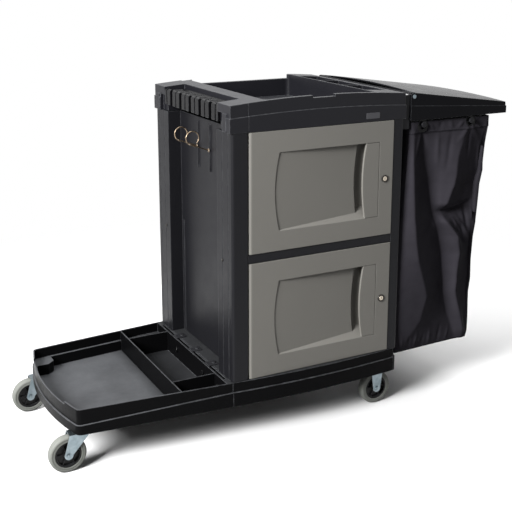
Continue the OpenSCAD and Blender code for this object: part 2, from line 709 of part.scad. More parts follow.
// Pocket in the deck end of a corner block, open to the tool bay, and the tab beside it
module corner_pocket(grow) {
    block([tray_x0 - eps, bay_half - eps, tray_z - eps],
          [tray_x0 + pocket_d + grow, bay_half + pocket_w + grow, rim_z - pocket_cap + grow]);
}
module corner_tab() {
    y0 = bay_half + pocket_w + tray_wall;
    block([tray_x0 - tab_out, y0, tray_z + eps], [tray_x0 + tray_wall, y0 + tab_w, rim_z - pocket_cap]);
}
module band_line_cut() {
    step_z = tray_z + band_step_h;
    block([band_line_x, tray_half - band_line, tray_z - eps],
          [band_line_x + band_line, tray_half + eps, step_z]);
    block([band_line_x, tray_half - band_step - band_line, step_z - eps],
          [band_line_x + band_line, tray_half + eps, rim_z + rim_crown + eps]);
}
module top_tray() color(plastic) difference() {
    union() {
        tray_band();
        both_sides() corner_tab();
    }
    tray_well(0);
    small_compartments(0);
    tool_bay(0);
    both_sides() {
        corner_pocket(0);
        band_line_cut();
    }
    block([far_rim_x[0], well_half - eps, rim_z - far_rim_drop],
          [far_rim_x[1], tray_half + eps, rim_z + rim_crown + eps]);
    block([well_x0 + notch_in, -tray_half - eps, rim_z + rim_crown - notch_d],
          [well_x0 + notch_in + notch_l, -well_half + eps, rim_z + rim_crown + eps]);
    difference() {
        block([tray_x0 + tray_wall + band_step, -tray_half + tray_wall + band_step, tray_z - eps],
              [tray_x1 - tray_wall - band_step, tray_half - tray_wall - band_step, rim_z - under_top]);
        tray_well(tray_wall);
        small_compartments(tray_wall);
        tool_bay(tray_wall);
        both_sides() corner_pocket(tray_wall);
        rod([hinge_x, hinge_y, tray_z - 2 * eps], pin_r + 4, pin_grip + 6, "z");
        block([tray_x0, -tray_half, tray_z - 2 * eps], [hinge_stile_w, -tray_half + post_w, tray_z + 4]);
    }
    rod([hinge_x, hinge_y, tray_z - eps], pin_r + fit, pin_grip + 1 + eps, "z");
}
// Tool comb: springy tines that grip upright handles in round-ended slots
slot_y = [for (i = [0:slot_count - 1]) (i - (slot_count - 1) / 2) * slot_pitch];
module tool_comb() color(plastic) {
    difference() {
        union() {
            block([tray_x0 + 3, -bay_half + play, comb_z], [bay_x, bay_half - play, comb_z + comb_h]);
            for (y = slot_y, s = [-1, 1])
                rod([tray_x0 + 6, y + s * (handle_d / 2 + 7), comb_z + comb_h - 1], bead_r, bay_d - 12, "x");
            rod([tray_x0 + 3 + lip_r, -bay_half + play, comb_z + comb_h - 1], lip_r,
                2 * (bay_half - play), "y");
        }
        rod([valley_x, -bay_half, comb_z + comb_h + valley_r / 2], valley_r, 2 * bay_half, "y");
        for (y = slot_y) {
            rod([slot_x, y, comb_z - eps], handle_d / 2, comb_h + tine_clear, "z");
            block([tray_x0 - eps, y - handle_d / 2 + 3, comb_z - eps],
                  [slot_x, y + handle_d / 2 - 3, comb_z + comb_h + tine_clear]);
        }
        for (i = [-1:slot_count - 1]) {
            y = slot_y[0] + (i + 0.5) * slot_pitch;
            block([tray_x0 - eps, y - tine_gap / 2, comb_z - eps],
                  [tine_x, y + tine_gap / 2, comb_z + comb_h + tine_clear]);
        }
    }
}
// Wire hook: a screwed shank, a rising arm, and an open loop crimped to the arm
module wire_hook(y) color(nickel) {
    sweep = 290;
    crimp = 4;
    c = [recess_d - hook_out, hook_z + hook_up];
    foot = [recess_d - 5, hook_z];
    touch = atan2(foot.y - c.y, foot.x - c.x) - acos(hook_r / norm(foot - c));
    end = c + hook_r * [cos(touch), sin(touch)];
    tip = c + hook_r * [cos(touch - sweep), sin(touch - sweep)];
    rise = atan2(end.y - foot.y, end.x - foot.x);
    arm = norm(end - foot);
    translate([0, y, 0]) {
        rod([foot.x, 0, foot.y], hook_wire_d / 2, panel_t + 12, "x");
        rod([foot.x - 1, 0, foot.y], hook_wire_d * 1.5, 2, "x");
        translate([foot.x, 0, foot.y]) rotate([0, 90 - rise, 0]) {
            cylinder(r = hook_wire_d / 2, h = arm - 1);
            translate([0, 0, arm - crimp]) cylinder(r = hook_wire_d * 0.65, h = crimp + 2);
        }
        translate([c.x, 0, c.y]) rotate([90, 0, 0]) rotate([0, 0, touch - sweep])
            rotate_extrude(angle = sweep) translate([hook_r, 0]) circle(hook_wire_d / 2);
        translate([tip.x, 0, tip.y]) sphere(hook_wire_d * 0.7);
    }
}
module near_wire_hook() { wire_hook(-hook_y); }
module far_wire_hook() { wire_hook(hook_y); }

// Doors: moulded shells with a slanting finger recess that runs in behind a bowed grip
function bowed_edge(u, v0, v1, sag) =
    let (r = bow_r(v1 - v0, sag), half = asin((v1 - v0) / 2 / r))
    arc([u - sag + r, (v0 + v1) / 2], r, 180 + half, 180 - half, 10);
function reversed(pts) = [for (i = [len(pts) - 1:-1:0]) pts[i]];
module pull_outline() {
    polygon(concat(reversed(bowed_edge(pull_u, pull_v, pull_v + pull_h, pull_bow)),
                   bowed_edge(grip_u, pull_v, pull_v + pull_h, grip_bow)));
}
// The finger slot before the grip, bowed like the grip's edge and run out past the recess elsewhere
module finger_slot() {
    low = pull_v - eps;
    high = pull_v + pull_h + eps;
    polygon(concat(reversed(bowed_edge(grip_u - finger_slot_w, low, high, grip_bow)),
                   [[grip_u + 2 * eps, low], [grip_u + 2 * eps, high]]));
}
// The slanting floor of the recess seen from above
module pull_floor() {
    u0 = pull_u - pull_bow;
    polygon([[u0, -eps], [u0, pull_edge_d], [grip_u - finger_slot_w, slope_d], [grip_u + eps, slope_d],
             [grip_u + eps, -eps]]);
}
// The shell behind the recess seen from above
module pull_back() {
    u0 = pull_u - pull_bow - pull_shell;
    slot_u = grip_u - grip_bow - finger_slot_w - pull_shell;
    u1 = grip_u + grip_w / 2 + pull_shell;
    back = pull_d + pull_shell;
    polygon([[u0, 0], [u0, pull_edge_d + pull_shell], [slot_u, slope_d + pull_shell], [slot_u, back],
             [u1, back], [u1, 0]]);
}
// The recess: its lower wall rises as it goes in, and it runs in behind the grip
module door_recess() {
    margin = 4;
    difference() {
        union() {
            intersection() {
                across(-eps, pull_d) pull_outline();
                union() {
                    linear_extrude(door_h) pull_floor();
                    across(-2 * eps, pull_d + eps) finger_slot();
                }
            }
            block([grip_u - grip_bow - margin, grip_t, pull_v + margin],
                  [grip_u + grip_w / 2, pull_d, pull_v + pull_h - margin]);
        }
        along(0, door_w)
            polygon([[-2 * eps, pull_v + ramp_lift], [0, pull_v + ramp_lift],
                     [pull_d + eps, pull_v + ramp_lift + pull_ramp * (pull_d + eps)],
                     [pull_d + eps, pull_v - pull_d], [-2 * eps, pull_v - pull_d]]);
    }
}
module door_shell() {
    bar = 2 * hinge_r + 2;
    edge = 5;
    difference() {
        block([0, 0, 0], [door_w, door_t, door_h]);
        block([bar, door_skin, edge], [door_w - edge, door_t + eps, door_h - edge]);
    }
    intersection() {
        linear_extrude(door_h) pull_back();
        block([0, 0, pull_v - pull_shell], [door_w, door_t + pull_d, pull_v + pull_h + pull_shell]);
    }
    rod([door_w - lock_u, 1, door_h / 2], lock_barrel_r + 6, door_t - 1, "y");
    for (v = [door_h / 8, 7 * door_h / 8])
        block([bar - eps, 1, v - rib_t / 2], [door_w - edge + eps, door_t - 4, v + rib_t / 2]);
}
// A line moulded round the grip's strip
module strip_lines() {
    strip_u = grip_u + grip_w;
    block([strip_u - strip_groove, -eps, pull_v], [strip_u, strip_groove, pull_v + pull_h]);
    for (v = [pull_v, pull_v + pull_h - strip_groove])
        block([grip_u + 2, -eps, v], [strip_u - eps / 2, strip_groove, v + strip_groove]);
}
module door(z0) color(door_grey) translate([door_x, door_y, z0]) difference() {
    door_shell();
    door_recess();
    translate([hinge_r, hinge_r, -eps]) linear_extrude(door_h + 2 * eps)
        for (s = [0, 1]) rotate(180) mirror([0, s]) translate([hinge_r, hinge_r]) corner_waste(hinge_r);
    for (v = [-eps, door_h - pin_hold]) rod([hinge_r, hinge_r, v], pin_r + fit, pin_hold + eps, "z");
    rod([door_w - lock_u, -eps, door_h / 2], lock_barrel_r + fit, door_t + 2 * eps, "y");
    strip_lines();
}
module upper_door() { door(upper_door_z); }
module lower_door() { door(lower_door_z); }
module hinge_pins(z0) color(zinc) for (z = [z0 - pin_grip, z0 + door_h - pin_hold + play])
    rod([hinge_x, hinge_y, z], pin_r, pin_grip + pin_hold - play, "z");
module upper_hinge_pins() { hinge_pins(upper_door_z); }
module lower_hinge_pins() { hinge_pins(lower_door_z); }
// Cam lock: a flanged barrel with a nut, a turning plug with a key slot, and a cam behind the door
module lock_body(z) color(nickel) translate([lock_x, door_y, z]) difference() {
    union() {
        rod([0, -2, 0], lock_flange_r, 2, "y");
        rod([0, -1, 0], lock_barrel_r, door_t + 4, "y");
        translate([0, door_t, 0]) rotate([-90, 0, 0]) cylinder(r = lock_barrel_r + 4, h = 3, $fn = 6);
    }
    rod([0, -2 - eps, 0], plug_r + fit, door_t + 6 + eps, "y");
}
module lock_plug(z) color(nickel) translate([lock_x, door_y, z]) difference() {
    union() {
        rod([0, -2.4, 0], plug_r, door_t + 5.4, "y");
        rod([0, door_t, 0], tail_r, 3 + cam_t + 3, "y");
    }
    block([-0.9, -2.4 - eps, -4], [0.9, 9, 4]);
}
module lock_cam(z) color(zinc) translate([lock_x, door_y + door_t + 3 + play, z]) difference() {
    union() {
        rod([0, 0, 0], cam_w / 2, cam_t, "y");
        block([-cam_w / 2, 0, -cam_l], [cam_w / 2, cam_t, 0]);
    }
    rod([0, -eps, 0], tail_r + fit, cam_t + 2 * eps, "y");
}
module upper_lock_body() { lock_body(lock_z[1]); }
module upper_lock_plug() { lock_plug(lock_z[1]); }
module upper_lock_cam() { lock_cam(lock_z[1]); }
module lower_lock_body() { lock_body(lock_z[0]); }
module lower_lock_plug() { lock_plug(lock_z[0]); }
module lower_lock_cam() { lock_cam(lock_z[0]); }

// Bag frame: a beam on the cabinet's end with ears for the lid, and rails with pegs for the bag
module bag_frame() color(plastic) difference() {
    union() {
        across(-beam_half, beam_half)
            polygon([[cabinet_l, rail_z], [beam_x1, rail_z], [beam_x1, beam_mid_z], [beam_x0, beam_mid_z],
                     [beam_x0, tray_z - 2], [cabinet_l, tray_z - 2]]);
        both_sides() {
            block([beam_x0, beam_half - ear_w, beam_mid_z - eps], [beam_x1, beam_half, pivot_z + 4]);
            block([beam_x1 - 4, ear_y, beam_mid_z], [pivot_x, ear_y + ear_t, pivot_z + ear_r]);
            rod([pivot_x, ear_y, pivot_z], ear_r, ear_t, "y");
            block([beam_x1 - eps, rail_half - rail_t, rail_z], [rail_x1, rail_half, rail_z + rail_h]);
            for (x = peg_x) {
                rod([x, rail_half - 1, peg_z], peg_d / 2, peg_l + 1, "y");
                rod([x, rail_half + peg_l - 3, peg_z], peg_d / 2 + 2.5, 3, "y");
            }
        }
        block([rail_x1 - rail_t, -rail_half, rail_z], [rail_x1, rail_half, rail_z + rail_h]);
    }
    for (i = [-2:2]) block([beam_x0 + 4, i * beam_half / 2.8 - beam_half / 6.5, rail_z + rail_h + 4],
                           [beam_x1 + eps, i * beam_half / 2.8 + beam_half / 6.5, beam_mid_z - 4]);
    both_sides() rod([pivot_x, ear_y - eps, pivot_z], rivet_r + fit, ear_t + 2 * eps, "y");
    for (y = screw_y) both_sides()
        rod([cabinet_l - eps, y, frame_screw_z], screw_r + play / 2, beam_x1 - cabinet_l + 2 * eps, "x");
}
module frame_screws() color(zinc) for (y = screw_y) both_sides() {
    rod([cabinet_l - panel_t - 4, y, frame_screw_z], screw_r, beam_x1 - cabinet_l + panel_t + 4, "x");
    rod([beam_x1, y, frame_screw_z], screw_r * 2, 2.5, "x");
}
// Lid: a sloping shell, crowned across its width, that turns on two rivets at the cabinet end
lid_top_a = 90 - lid_angle;
lid_top0 = [pivot_x, pivot_z] + pivot_r * [cos(lid_top_a), sin(lid_top_a)];
function lid_top_z(x) = lid_top0.y - (x - lid_top0.x) * tan(lid_angle);
module lid_profile(raise) {
    nose = [lid_end_x - lid_nose_r, lid_top_z(lid_end_x - lid_nose_r) + raise - lid_nose_r / cos(lid_angle)];
    polygon(concat([[pivot_x - pivot_r, lid_z], [pivot_x - pivot_r, pivot_z]],
                   arc([pivot_x, pivot_z], pivot_r, 180, lid_top_a, 8), [lid_top0 + [0, raise]],
                   arc(nose, lid_nose_r, lid_top_a, 0, 8), [[lid_end_x, lid_z]]));
}
module lid_crown_solid(lower) {
    r = bow_r(2 * lid_half, lid_crown);
    translate([lid_top0.x, 0, lid_top0.y + (lid_crown - lower) / cos(lid_angle) - r / cos(lid_angle)])
        rotate([0, 90 + lid_angle, 0]) translate([0, 0, -r * tan(lid_angle) - lid_l])
        cylinder(r = r, h = 3 * lid_l, $fn = round_fn);
}
module lid_hollow() {
    low = [pivot_x - pivot_r - eps, lid_z - eps];
    high = lid_top_z(lid_end_x - lid_wall) + 3 * lid_crown;
    intersection() {
        across(-lid_half + lid_wall, lid_half - lid_wall)
            polygon([low, [low.x, lid_top0.y + 3 * lid_crown], [lid_top0.x, lid_top0.y + 3 * lid_crown],
                     [lid_end_x - lid_wall, high], [lid_end_x - lid_wall, low.y]]);
        lid_crown_solid(lid_wall);
        across(-lid_half, lid_half) translate([-lid_wall, -lid_wall]) lid_profile(2 * lid_crown);
    }
}
module bag_lid() color(plastic) difference() {
    union() {
        intersection() {
            across(-lid_half, lid_half) lid_profile(lid_crown + eps);
            lid_crown_solid(0);
        }
        across(-lid_half - lid_lip, lid_half + lid_lip)
            polygon([[pivot_x - pivot_r, lid_z], [lid_end_x + lid_lip, lid_z],
                     [lid_end_x + lid_lip, lid_z + lip_end_h], [pivot_x - pivot_r, lid_z + lip_h]]);
    }
    lid_hollow();
    across(-lid_half + lid_wall, lid_half - lid_wall)
        polygon([[pivot_x - pivot_r - eps, lid_z - eps], [lid_end_x - lid_wall, lid_z - eps],
                 [lid_end_x - lid_wall, lid_z + lip_end_h], [lid_top0.x, lid_z + lip_h],
                 [pivot_x - pivot_r - eps, lid_z + lip_h]]);
    both_sides() {
        rod([pivot_x, ear_y, pivot_z], rivet_r + fit, ear_t + lid_wall + 4, "y");
        block([pivot_x - pivot_r - eps, ear_y - ear_play, lid_z - eps],
              [pivot_x + ear_r + ear_play, lid_half - lid_wall, lid_top0.y + 3 * lid_crown]);
    }
}
module lid_rivets() color(zinc) both_sides() {
    rod([pivot_x, ear_y - 1, pivot_z], rivet_r, lid_half - ear_y + 2, "y");
    rod([pivot_x, ear_y - 2.5, pivot_z], rivet_r + 1.5, 2, "y");
    rod([pivot_x, lid_half, pivot_z], rivet_r * 2, 2, "y");
}
// Bag: a fabric sack that hangs on the frame's pegs in slack folds and settles against the cabinet's end
bag_waist = bag_z + 0.55 * bag_h;
bag_straight = bag_top - 2 * (bag_top - peg_z) - eyelet_r;
bag_left = [[bag_z, bag_x0], [bag_waist, bag_x0], [bag_straight, bag_top_x0]];
bag_right = [[bag_z, bag_x0 + bag_bottom_l], [bag_waist, bag_top_x1 - bag_draw_in],
             [bag_straight, bag_top_x1]];
bag_side = [[bag_z, bag_half - bag_bottom_in], [bag_waist, bag_half + bag_flare], [bag_straight, bag_half]];
// Rows from the bottom up: height, how far the free end bellies, then the lines of the folds down each long
// side, as the share of the side's length and how far the cloth stands out there
bag_rows = [
    [bag_z, 0, [[0, 0], [0.50, 0], [0.75, 0], [0.90, 0], [1, 0]]],
    [bag_z + 0.24 * bag_h, 6, [[0, -4], [0.42, 16], [0.63, -12], [0.84, 12], [1, -4]]],
    [bag_z + 0.53 * bag_h, 8, [[0, -5], [0.20, 18], [0.52, -18], [0.72, 10], [1, -5]]],
    [bag_z + 0.64 * bag_h, 6, [[0, -5], [0.15, 15], [0.41, -16], [0.52, -6], [1, -14]]],
    [bag_z + 0.75 * bag_h, 4, [[0, -4], [0.11, 11], [0.32, -14], [0.73, 15], [1, -6]]],
    [bag_straight, 0, [[0, 0], [0.05, 0], [0.16, 0], [0.73, 0], [1, 0]]],
    [bag_top, 0, [[0, 0], [0.05, 0], [0.16, 0], [0.73, 0], [1, 0]]],
];
// One row's outline at a height, drawn in by a wall's thickness
function bag_ring(row, z, inset) =
    let (x0 = lookup(row[0], bag_left) + inset,
         x1 = lookup(row[0], bag_right) - inset,
         half = lookup(row[0], bag_side) - inset,
         side = [for (f = row[2]) [x0 + f[0] * (x1 - x0), half + f[1]]],
         belly = [for (s = [-1, 0, 1]) [x1 + row[1] * (s == 0 ? -1 : 1), s * half / 2]])
    [for (p = concat([for (q = side) [q.x, -q.y]], belly, reversed(side))) [p.x, p.y, z]];
module bag_form(inset, bottom, top) {
    last = len(bag_rows) - 1;
    heights = [for (i = [0:last]) i == 0 ? bottom : i == last ? top : bag_rows[i][0]];
    rings = [for (i = [0:last]) bag_ring(bag_rows[i], heights[i], inset)];
    n = len(rings[0]);
    middle = bag_x0 + bag_bottom_l / 2;
    low = n * (last + 1);
    walls = [for (i = [0:last - 1], j = [0:n - 1])
        let (a = i * n + j, b = i * n + (j + 1) % n)
        each [[a, a + n, b + n], [a, b + n, b]]];
    ends = [for (j = [0:n - 1])
        let (k = (j + 1) % n)
        each [[j, k, low], [last * n + k, last * n + j, low + 1]]];
    polyhedron([for (ring = rings) each ring, [middle, 0, bottom], [middle, 0, top]], concat(walls, ends));
}
module trash_bag() color(cloth) difference() {
    bag_form(0, bag_z, bag_top);
    bag_form(bag_t, bag_z + bag_t, bag_top + eps);
    for (x = peg_x) both_sides() rod([x, bag_half - 2 * bag_t, eyelet_z], eyelet_r + fit, 4 * bag_t, "y");
    block([bag_top_x0 - eps, -bag_half - eps, rail_z - 2],
          [bag_top_x0 + hem_cut, bag_half + eps, bag_top + 2 * eps]);
}
module bag_eyelets() color(plastic) for (x = peg_x) both_sides() difference() {
    union() {
        rod([x, bag_half - bag_t, eyelet_z], eyelet_r, bag_t, "y");
        rod([x, bag_half, eyelet_z], eyelet_r + eyelet_flange, eyelet_flange_t, "y");
    }
    rod([x, bag_half - bag_t - eps, eyelet_z], eyelet_hole_r, bag_t + eyelet_flange_t + 2 * eps, "y");
}

// Wheels: a soft tyre on a dished hub that runs on an axle bolt
module tyre(c) color(tyre_grey) translate(c) rotate([90, 0, 0]) rotate_extrude($fn = 96) {
    shoulder = 7;
    ring = 1.6;
    lo = hub_d / 2 + fit;
    difference() {
        union() {
            translate([lo, -tyre_w / 2]) square([wheel_r - lo - shoulder, tyre_w]);
            translate([lo, -tyre_w / 2 + shoulder]) square([wheel_r - lo, tyre_w - 2 * shoulder]);
            for (s = [-1, 1]) translate([wheel_r - shoulder, s * (tyre_w / 2 - shoulder)]) circle(shoulder);
        }
        for (s = [-1, 1]) translate([wheel_r - shoulder - 2 * ring, s * tyre_w / 2 - ring / 2]) square(ring);
    }
}
module hub(c) color(plastic) translate(c) rotate([90, 0, 0]) {
    rim_t = 5;
    web_t = 8;
    boss_r = axle_d / 2 + 8;
    difference() {
        union() {
            rotate_extrude($fn = 96) {
                translate([hub_d / 2 - rim_t, -tyre_w / 2 + 1]) square([rim_t, tyre_w - 2]);
                translate([axle_d / 2 + 1, -web_t / 2]) square([hub_d / 2 - axle_d / 2 - 2, web_t]);
                translate([0, -tyre_w / 2 - 1]) square([boss_r, tyre_w + 2]);
            }
            for (a = [0:60:300]) rotate(a) translate([boss_r - 1, -1.5, -tyre_w / 2 + 4])
                cube([hub_d / 2 - boss_r - rim_t + 2, 3, tyre_w - 8]);
        }
        translate([0, 0, -tyre_w]) cylinder(r = axle_d / 2 + fit, h = 2 * tyre_w);
    }
}
module axle(c) color(zinc) translate(c) {
    out = leg_y + fork_t;
    rod([0, -out, 0], axle_d / 2, 2 * out, "y");
    both_sides() translate([0, out, 0]) rotate([-90, 0, 0]) cylinder(r = axle_d * 0.85, h = 4, $fn = 6);
    both_sides() rod([0, out + 3, 0], axle_d / 2, 3, "y");
}
// One pressed leg of a fork, from its top edge to a round end at the axle
module fork_leg(top, foot, r) {
    difference() {
        union() {
            polygon([[top[0], top[2]], [foot.x - r, foot.y], [foot.x - r * 0.6, foot.y - r * 0.8],
                     [foot.x + r * 0.6, foot.y - r * 0.8], [foot.x + r, foot.y], [top[1], top[2]]]);
            translate(foot) circle(r);
        }
        translate(foot) circle(axle_d / 2 + fit);
    }
}
// Swivel fork that trails behind its stem, towards -X at rest
module caster_fork(s) color(zinc) translate([swivel_x, s * swivel_y, 0]) {
    both_sides() across(leg_y, leg_y + fork_t)
        fork_leg([-trail + 4, 19, crown_z + fork_t], [-trail, wheel_r], 12);
    difference() {
        union() {
            block([-trail + 4, -leg_y - 1, crown_z], [0, leg_y + 1, crown_z + fork_t]);
            rod([0, 0, crown_z], 19, fork_t, "z");
        }
        rod([0, 0, crown_z - eps], stem_d / 2 + fit, fork_t + 2 * eps, "z");
    }
}
module caster_race(s) color(zinc) translate([swivel_x, s * swivel_y, crown_z + fork_t]) difference() {
    rod([0, 0, 0], race_r, race_t, "z");
    rod([0, 0, -eps], stem_d / 2 + fit, race_t + 2 * eps, "z");
}
// Stem that is held in the deck's hump and riveted over below the fork
module caster_stem(s) color(zinc) translate([swivel_x, s * swivel_y, 0]) {
    rod([0, 0, crown_z - 3], stem_d / 2, stem_top - crown_z + 3, "z");
    rod([0, 0, crown_z - 3.4], stem_d / 2 + 3, 3.1, "z");
    rod([0, 0, race_top - 3], race_r + 1, 3, "z");
}
// Rigid fork bolted under the base
module rear_bracket(s) color(zinc) translate([rear_x, s * rear_y, 0]) {
    both_sides() across(leg_y, leg_y + fork_t) fork_leg([-21, 21, skirt_z + 1], [0, wheel_r], 13);
    difference() {
        block([-pad_plate.x, -pad_plate.y, skirt_z], [pad_plate.x, pad_plate.y, bracket_z]);
        for (p = pad_holes) rod([p.x, s * p.y, skirt_z - eps], pad_bolt_r + play / 2, fork_t + 2 * eps, "z");
    }
}
module bracket_bolts() color(zinc) both_sides() for (p = pad_holes)
    translate([rear_x + p.x, rear_y + p.y, 0]) {
    translate([0, 0, skirt_z - pad_head_h]) cylinder(r = pad_bolt_r * 1.8, h = pad_head_h, $fn = 6);
    rod([0, 0, skirt_z - 1], pad_bolt_r, fork_t + 2 * pad_nut_h + 2, "z");
    translate([0, 0, bracket_z + pad_nut_h]) cylinder(r = pad_bolt_r * 1.8, h = pad_nut_h, $fn = 6);
}
function caster_wheel(s) = [swivel_x - trail, s * swivel_y, wheel_r];
function rear_wheel(s) = [rear_x, s * rear_y, wheel_r];
module near_caster_stem() { caster_stem(-1); }
module near_caster_fork() { caster_fork(-1); }
module near_caster_race() { caster_race(-1); }
module near_caster_axle() { axle(caster_wheel(-1)); }
module near_caster_hub() { hub(caster_wheel(-1)); }
module near_caster_tyre() { tyre(caster_wheel(-1)); }
module far_caster_stem() { caster_stem(1); }
module far_caster_fork() { caster_fork(1); }
module far_caster_race() { caster_race(1); }
module far_caster_axle() { axle(caster_wheel(1)); }
module far_caster_hub() { hub(caster_wheel(1)); }
module far_caster_tyre() { tyre(caster_wheel(1)); }
module near_rear_bracket() { rear_bracket(-1); }
module near_rear_axle() { axle(rear_wheel(-1)); }
module near_rear_hub() { hub(rear_wheel(-1)); }
module near_rear_tyre() { tyre(rear_wheel(-1)); }
module far_rear_bracket() { rear_bracket(1); }
module far_rear_axle() { axle(rear_wheel(1)); }
module far_rear_hub() { hub(rear_wheel(1)); }
module far_rear_tyre() { tyre(rear_wheel(1)); }

placed() base_pan();
placed() front_deck();
placed() compartment_walls();
placed() deck_clips();
placed() deck_bolts();
placed() left_end_panel();
placed() right_end_panel();
placed() back_panel();
placed() panel_screws();
placed() middle_shelf();
placed() top_tray();
placed() tool_comb();
placed() near_wire_hook();
placed() far_wire_hook();
placed() upper_door();
placed() upper_hinge_pins();
placed() upper_lock_body();
placed() upper_lock_plug();
placed() upper_lock_cam();
placed() lower_door();
placed() lower_hinge_pins();
placed() lower_lock_body();
placed() lower_lock_plug();
placed() lower_lock_cam();
placed() bag_frame();
placed() frame_screws();
placed() bag_lid();
placed() lid_rivets();
placed() trash_bag();
placed() bag_eyelets();
placed() near_caster_stem();
placed() near_caster_fork();
placed() near_caster_race();
placed() near_caster_axle();
placed() near_caster_hub();
placed() near_caster_tyre();
placed() far_caster_stem();
placed() far_caster_fork();
placed() far_caster_race();
placed() far_caster_axle();
placed() far_caster_hub();
placed() far_caster_tyre();
placed() near_rear_bracket();
placed() near_rear_axle();
placed() near_rear_hub();
placed() near_rear_tyre();
placed() far_rear_bracket();
placed() far_rear_axle();
placed() far_rear_hub();
placed() far_rear_tyre();
placed() bracket_bolts();
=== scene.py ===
import math

import bmesh
import bpy
import numpy as np
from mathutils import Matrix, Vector


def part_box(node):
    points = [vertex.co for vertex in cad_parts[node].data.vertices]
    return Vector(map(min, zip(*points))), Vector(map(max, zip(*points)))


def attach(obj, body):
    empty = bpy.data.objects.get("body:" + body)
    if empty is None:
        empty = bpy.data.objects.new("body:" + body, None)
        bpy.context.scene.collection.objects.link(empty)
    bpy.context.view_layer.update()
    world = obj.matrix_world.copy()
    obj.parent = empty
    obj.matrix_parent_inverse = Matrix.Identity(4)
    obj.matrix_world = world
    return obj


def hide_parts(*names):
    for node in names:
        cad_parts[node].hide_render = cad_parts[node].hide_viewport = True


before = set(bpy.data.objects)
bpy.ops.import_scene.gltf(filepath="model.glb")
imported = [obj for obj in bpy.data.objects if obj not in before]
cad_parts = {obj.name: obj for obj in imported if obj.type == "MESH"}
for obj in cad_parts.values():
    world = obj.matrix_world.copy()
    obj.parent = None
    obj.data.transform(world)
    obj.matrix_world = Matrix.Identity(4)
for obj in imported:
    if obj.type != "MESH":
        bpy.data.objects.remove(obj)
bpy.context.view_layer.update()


# Studio: a pale seamless floor that runs out to white, one broad soft light overhead, the main one low from
# the left front, weak ones from the front and from behind, and the camera where the photograph was taken.
scene = bpy.context.scene
scene.view_settings.view_transform = "Standard"

camera_tilt, camera_turn = 13.11, 27.46
camera_data = bpy.data.cameras.new("camera")
camera_data.sensor_fit = "HORIZONTAL"
camera_data.sensor_width = 36.0
camera_data.lens = 66.39
camera_data.shift_y = -0.14
camera = bpy.data.objects.new("camera", camera_data)
camera.location = (-1.30642, -2.50541, 1.34309)
camera.rotation_euler = (math.radians(90.0 - camera_tilt), 0.0, math.radians(-camera_turn))
scene.collection.objects.link(camera)
scene.camera = camera


def put(tree, kind, sockets=None, **settings):
    """A node in a tree: settings are its properties; sockets, by name or number, are joined or set."""
    node = tree.nodes.new(kind)
    for name, value in settings.items():
        setattr(node, name, value)
    for name, value in (sockets or {}).items():
        if isinstance(value, bpy.types.NodeSocket):
            tree.links.new(value, node.inputs[name])
        else:
            node.inputs[name].default_value = value
    return node


def sum_of(tree, operation, first, second=0.0, clamp=False):
    """The output of one Math node."""
    node = put(tree, "ShaderNodeMath", {0: first, 1: second}, operation=operation, use_clamp=clamp)
    return node.outputs[0]


def ranged(tree, value, low, high, to_low=0.0, to_high=1.0, curve="LINEAR"):
    """A value carried over from one range to another, and held at its ends."""
    sockets = {0: value, 1: low, 2: high, 3: to_low, 4: to_high}
    return put(tree, "ShaderNodeMapRange", sockets, interpolation_type=curve).outputs[0]


def own_place(tree):
    """Where a point lies on the piece, in its own coordinates."""
    return put(tree, "ShaderNodeTexCoord").outputs["Object"]


def noise(tree, place, scale, detail, roughness=0.5):
    """The value of one Noise Texture."""
    sockets = {"Vector": place, "Scale": scale, "Detail": detail, "Roughness": roughness}
    return put(tree, "ShaderNodeTexNoise", sockets).outputs[0]


def new_material(name):
    """A material with an empty node tree and its output."""
    material = bpy.data.materials.new(name)
    material.use_nodes = True
    material.node_tree.nodes.clear()
    return material, material.node_tree, material.node_tree.nodes.new("ShaderNodeOutputMaterial")


def seen_directly(tree):
    """1 for rays that show the surface itself, in the picture, a reflection or through glass."""
    path = put(tree, "ShaderNodeLightPath")
    seen = sum_of(tree, "MAXIMUM", path.outputs["Is Camera Ray"], path.outputs["Is Glossy Ray"])
    return sum_of(tree, "MAXIMUM", seen, path.outputs["Is Transmission Ray"])


white = (1.0, 1.0, 1.0, 1.0)
room_strength, wall_strength = 0.06, 1.0
world = bpy.data.worlds.new("studio")
world.use_nodes = True
scene.world = world
sky = world.node_tree
sky.nodes.clear()
room_light = put(sky, "ShaderNodeBackground", {"Color": white, "Strength": room_strength})
white_wall = put(sky, "ShaderNodeBackground", {"Color": white, "Strength": wall_strength})
either = put(sky, "ShaderNodeMixShader", {
    0: seen_directly(sky), 1: room_light.outputs[0], 2: white_wall.outputs[0]})
put(sky, "ShaderNodeOutputWorld", {"Surface": either.outputs[0]})

floor_half, floor_clear, floor_white = 6.0, 1.0, 2.1
floor_tones, floor_bounce = (0.92, 0.96), 0.10
floor_mesh = bpy.data.meshes.new("studio_floor")
floor_form = bmesh.new()
bmesh.ops.create_grid(floor_form, x_segments=8, y_segments=8, size=floor_half)
floor_form.to_mesh(floor_mesh)
floor_form.free()
floor = bpy.data.objects.new("studio_floor", floor_mesh)
scene.collection.objects.link(floor)
pale_floor, tree, out = new_material("pale_floor")
place = own_place(tree)
away = put(tree, "ShaderNodeVectorMath", {0: place}, operation="LENGTH").outputs["Value"]
fade = ranged(tree, away, floor_clear, floor_white, curve="SMOOTHSTEP")
tone = ranged(tree, noise(tree, place, 3.0, 3.0), 0.0, 1.0, *floor_tones)
bounced = put(tree, "ShaderNodeMix", {"Factor": seen_directly(tree), "A": floor_bounce, "B": tone})
laid = put(tree, "ShaderNodeBsdfDiffuse", {"Color": bounced.outputs[0]})
run_out = put(tree, "ShaderNodeEmission", {"Color": white, "Strength": wall_strength})
share = sum_of(tree, "MULTIPLY", fade, seen_directly(tree))
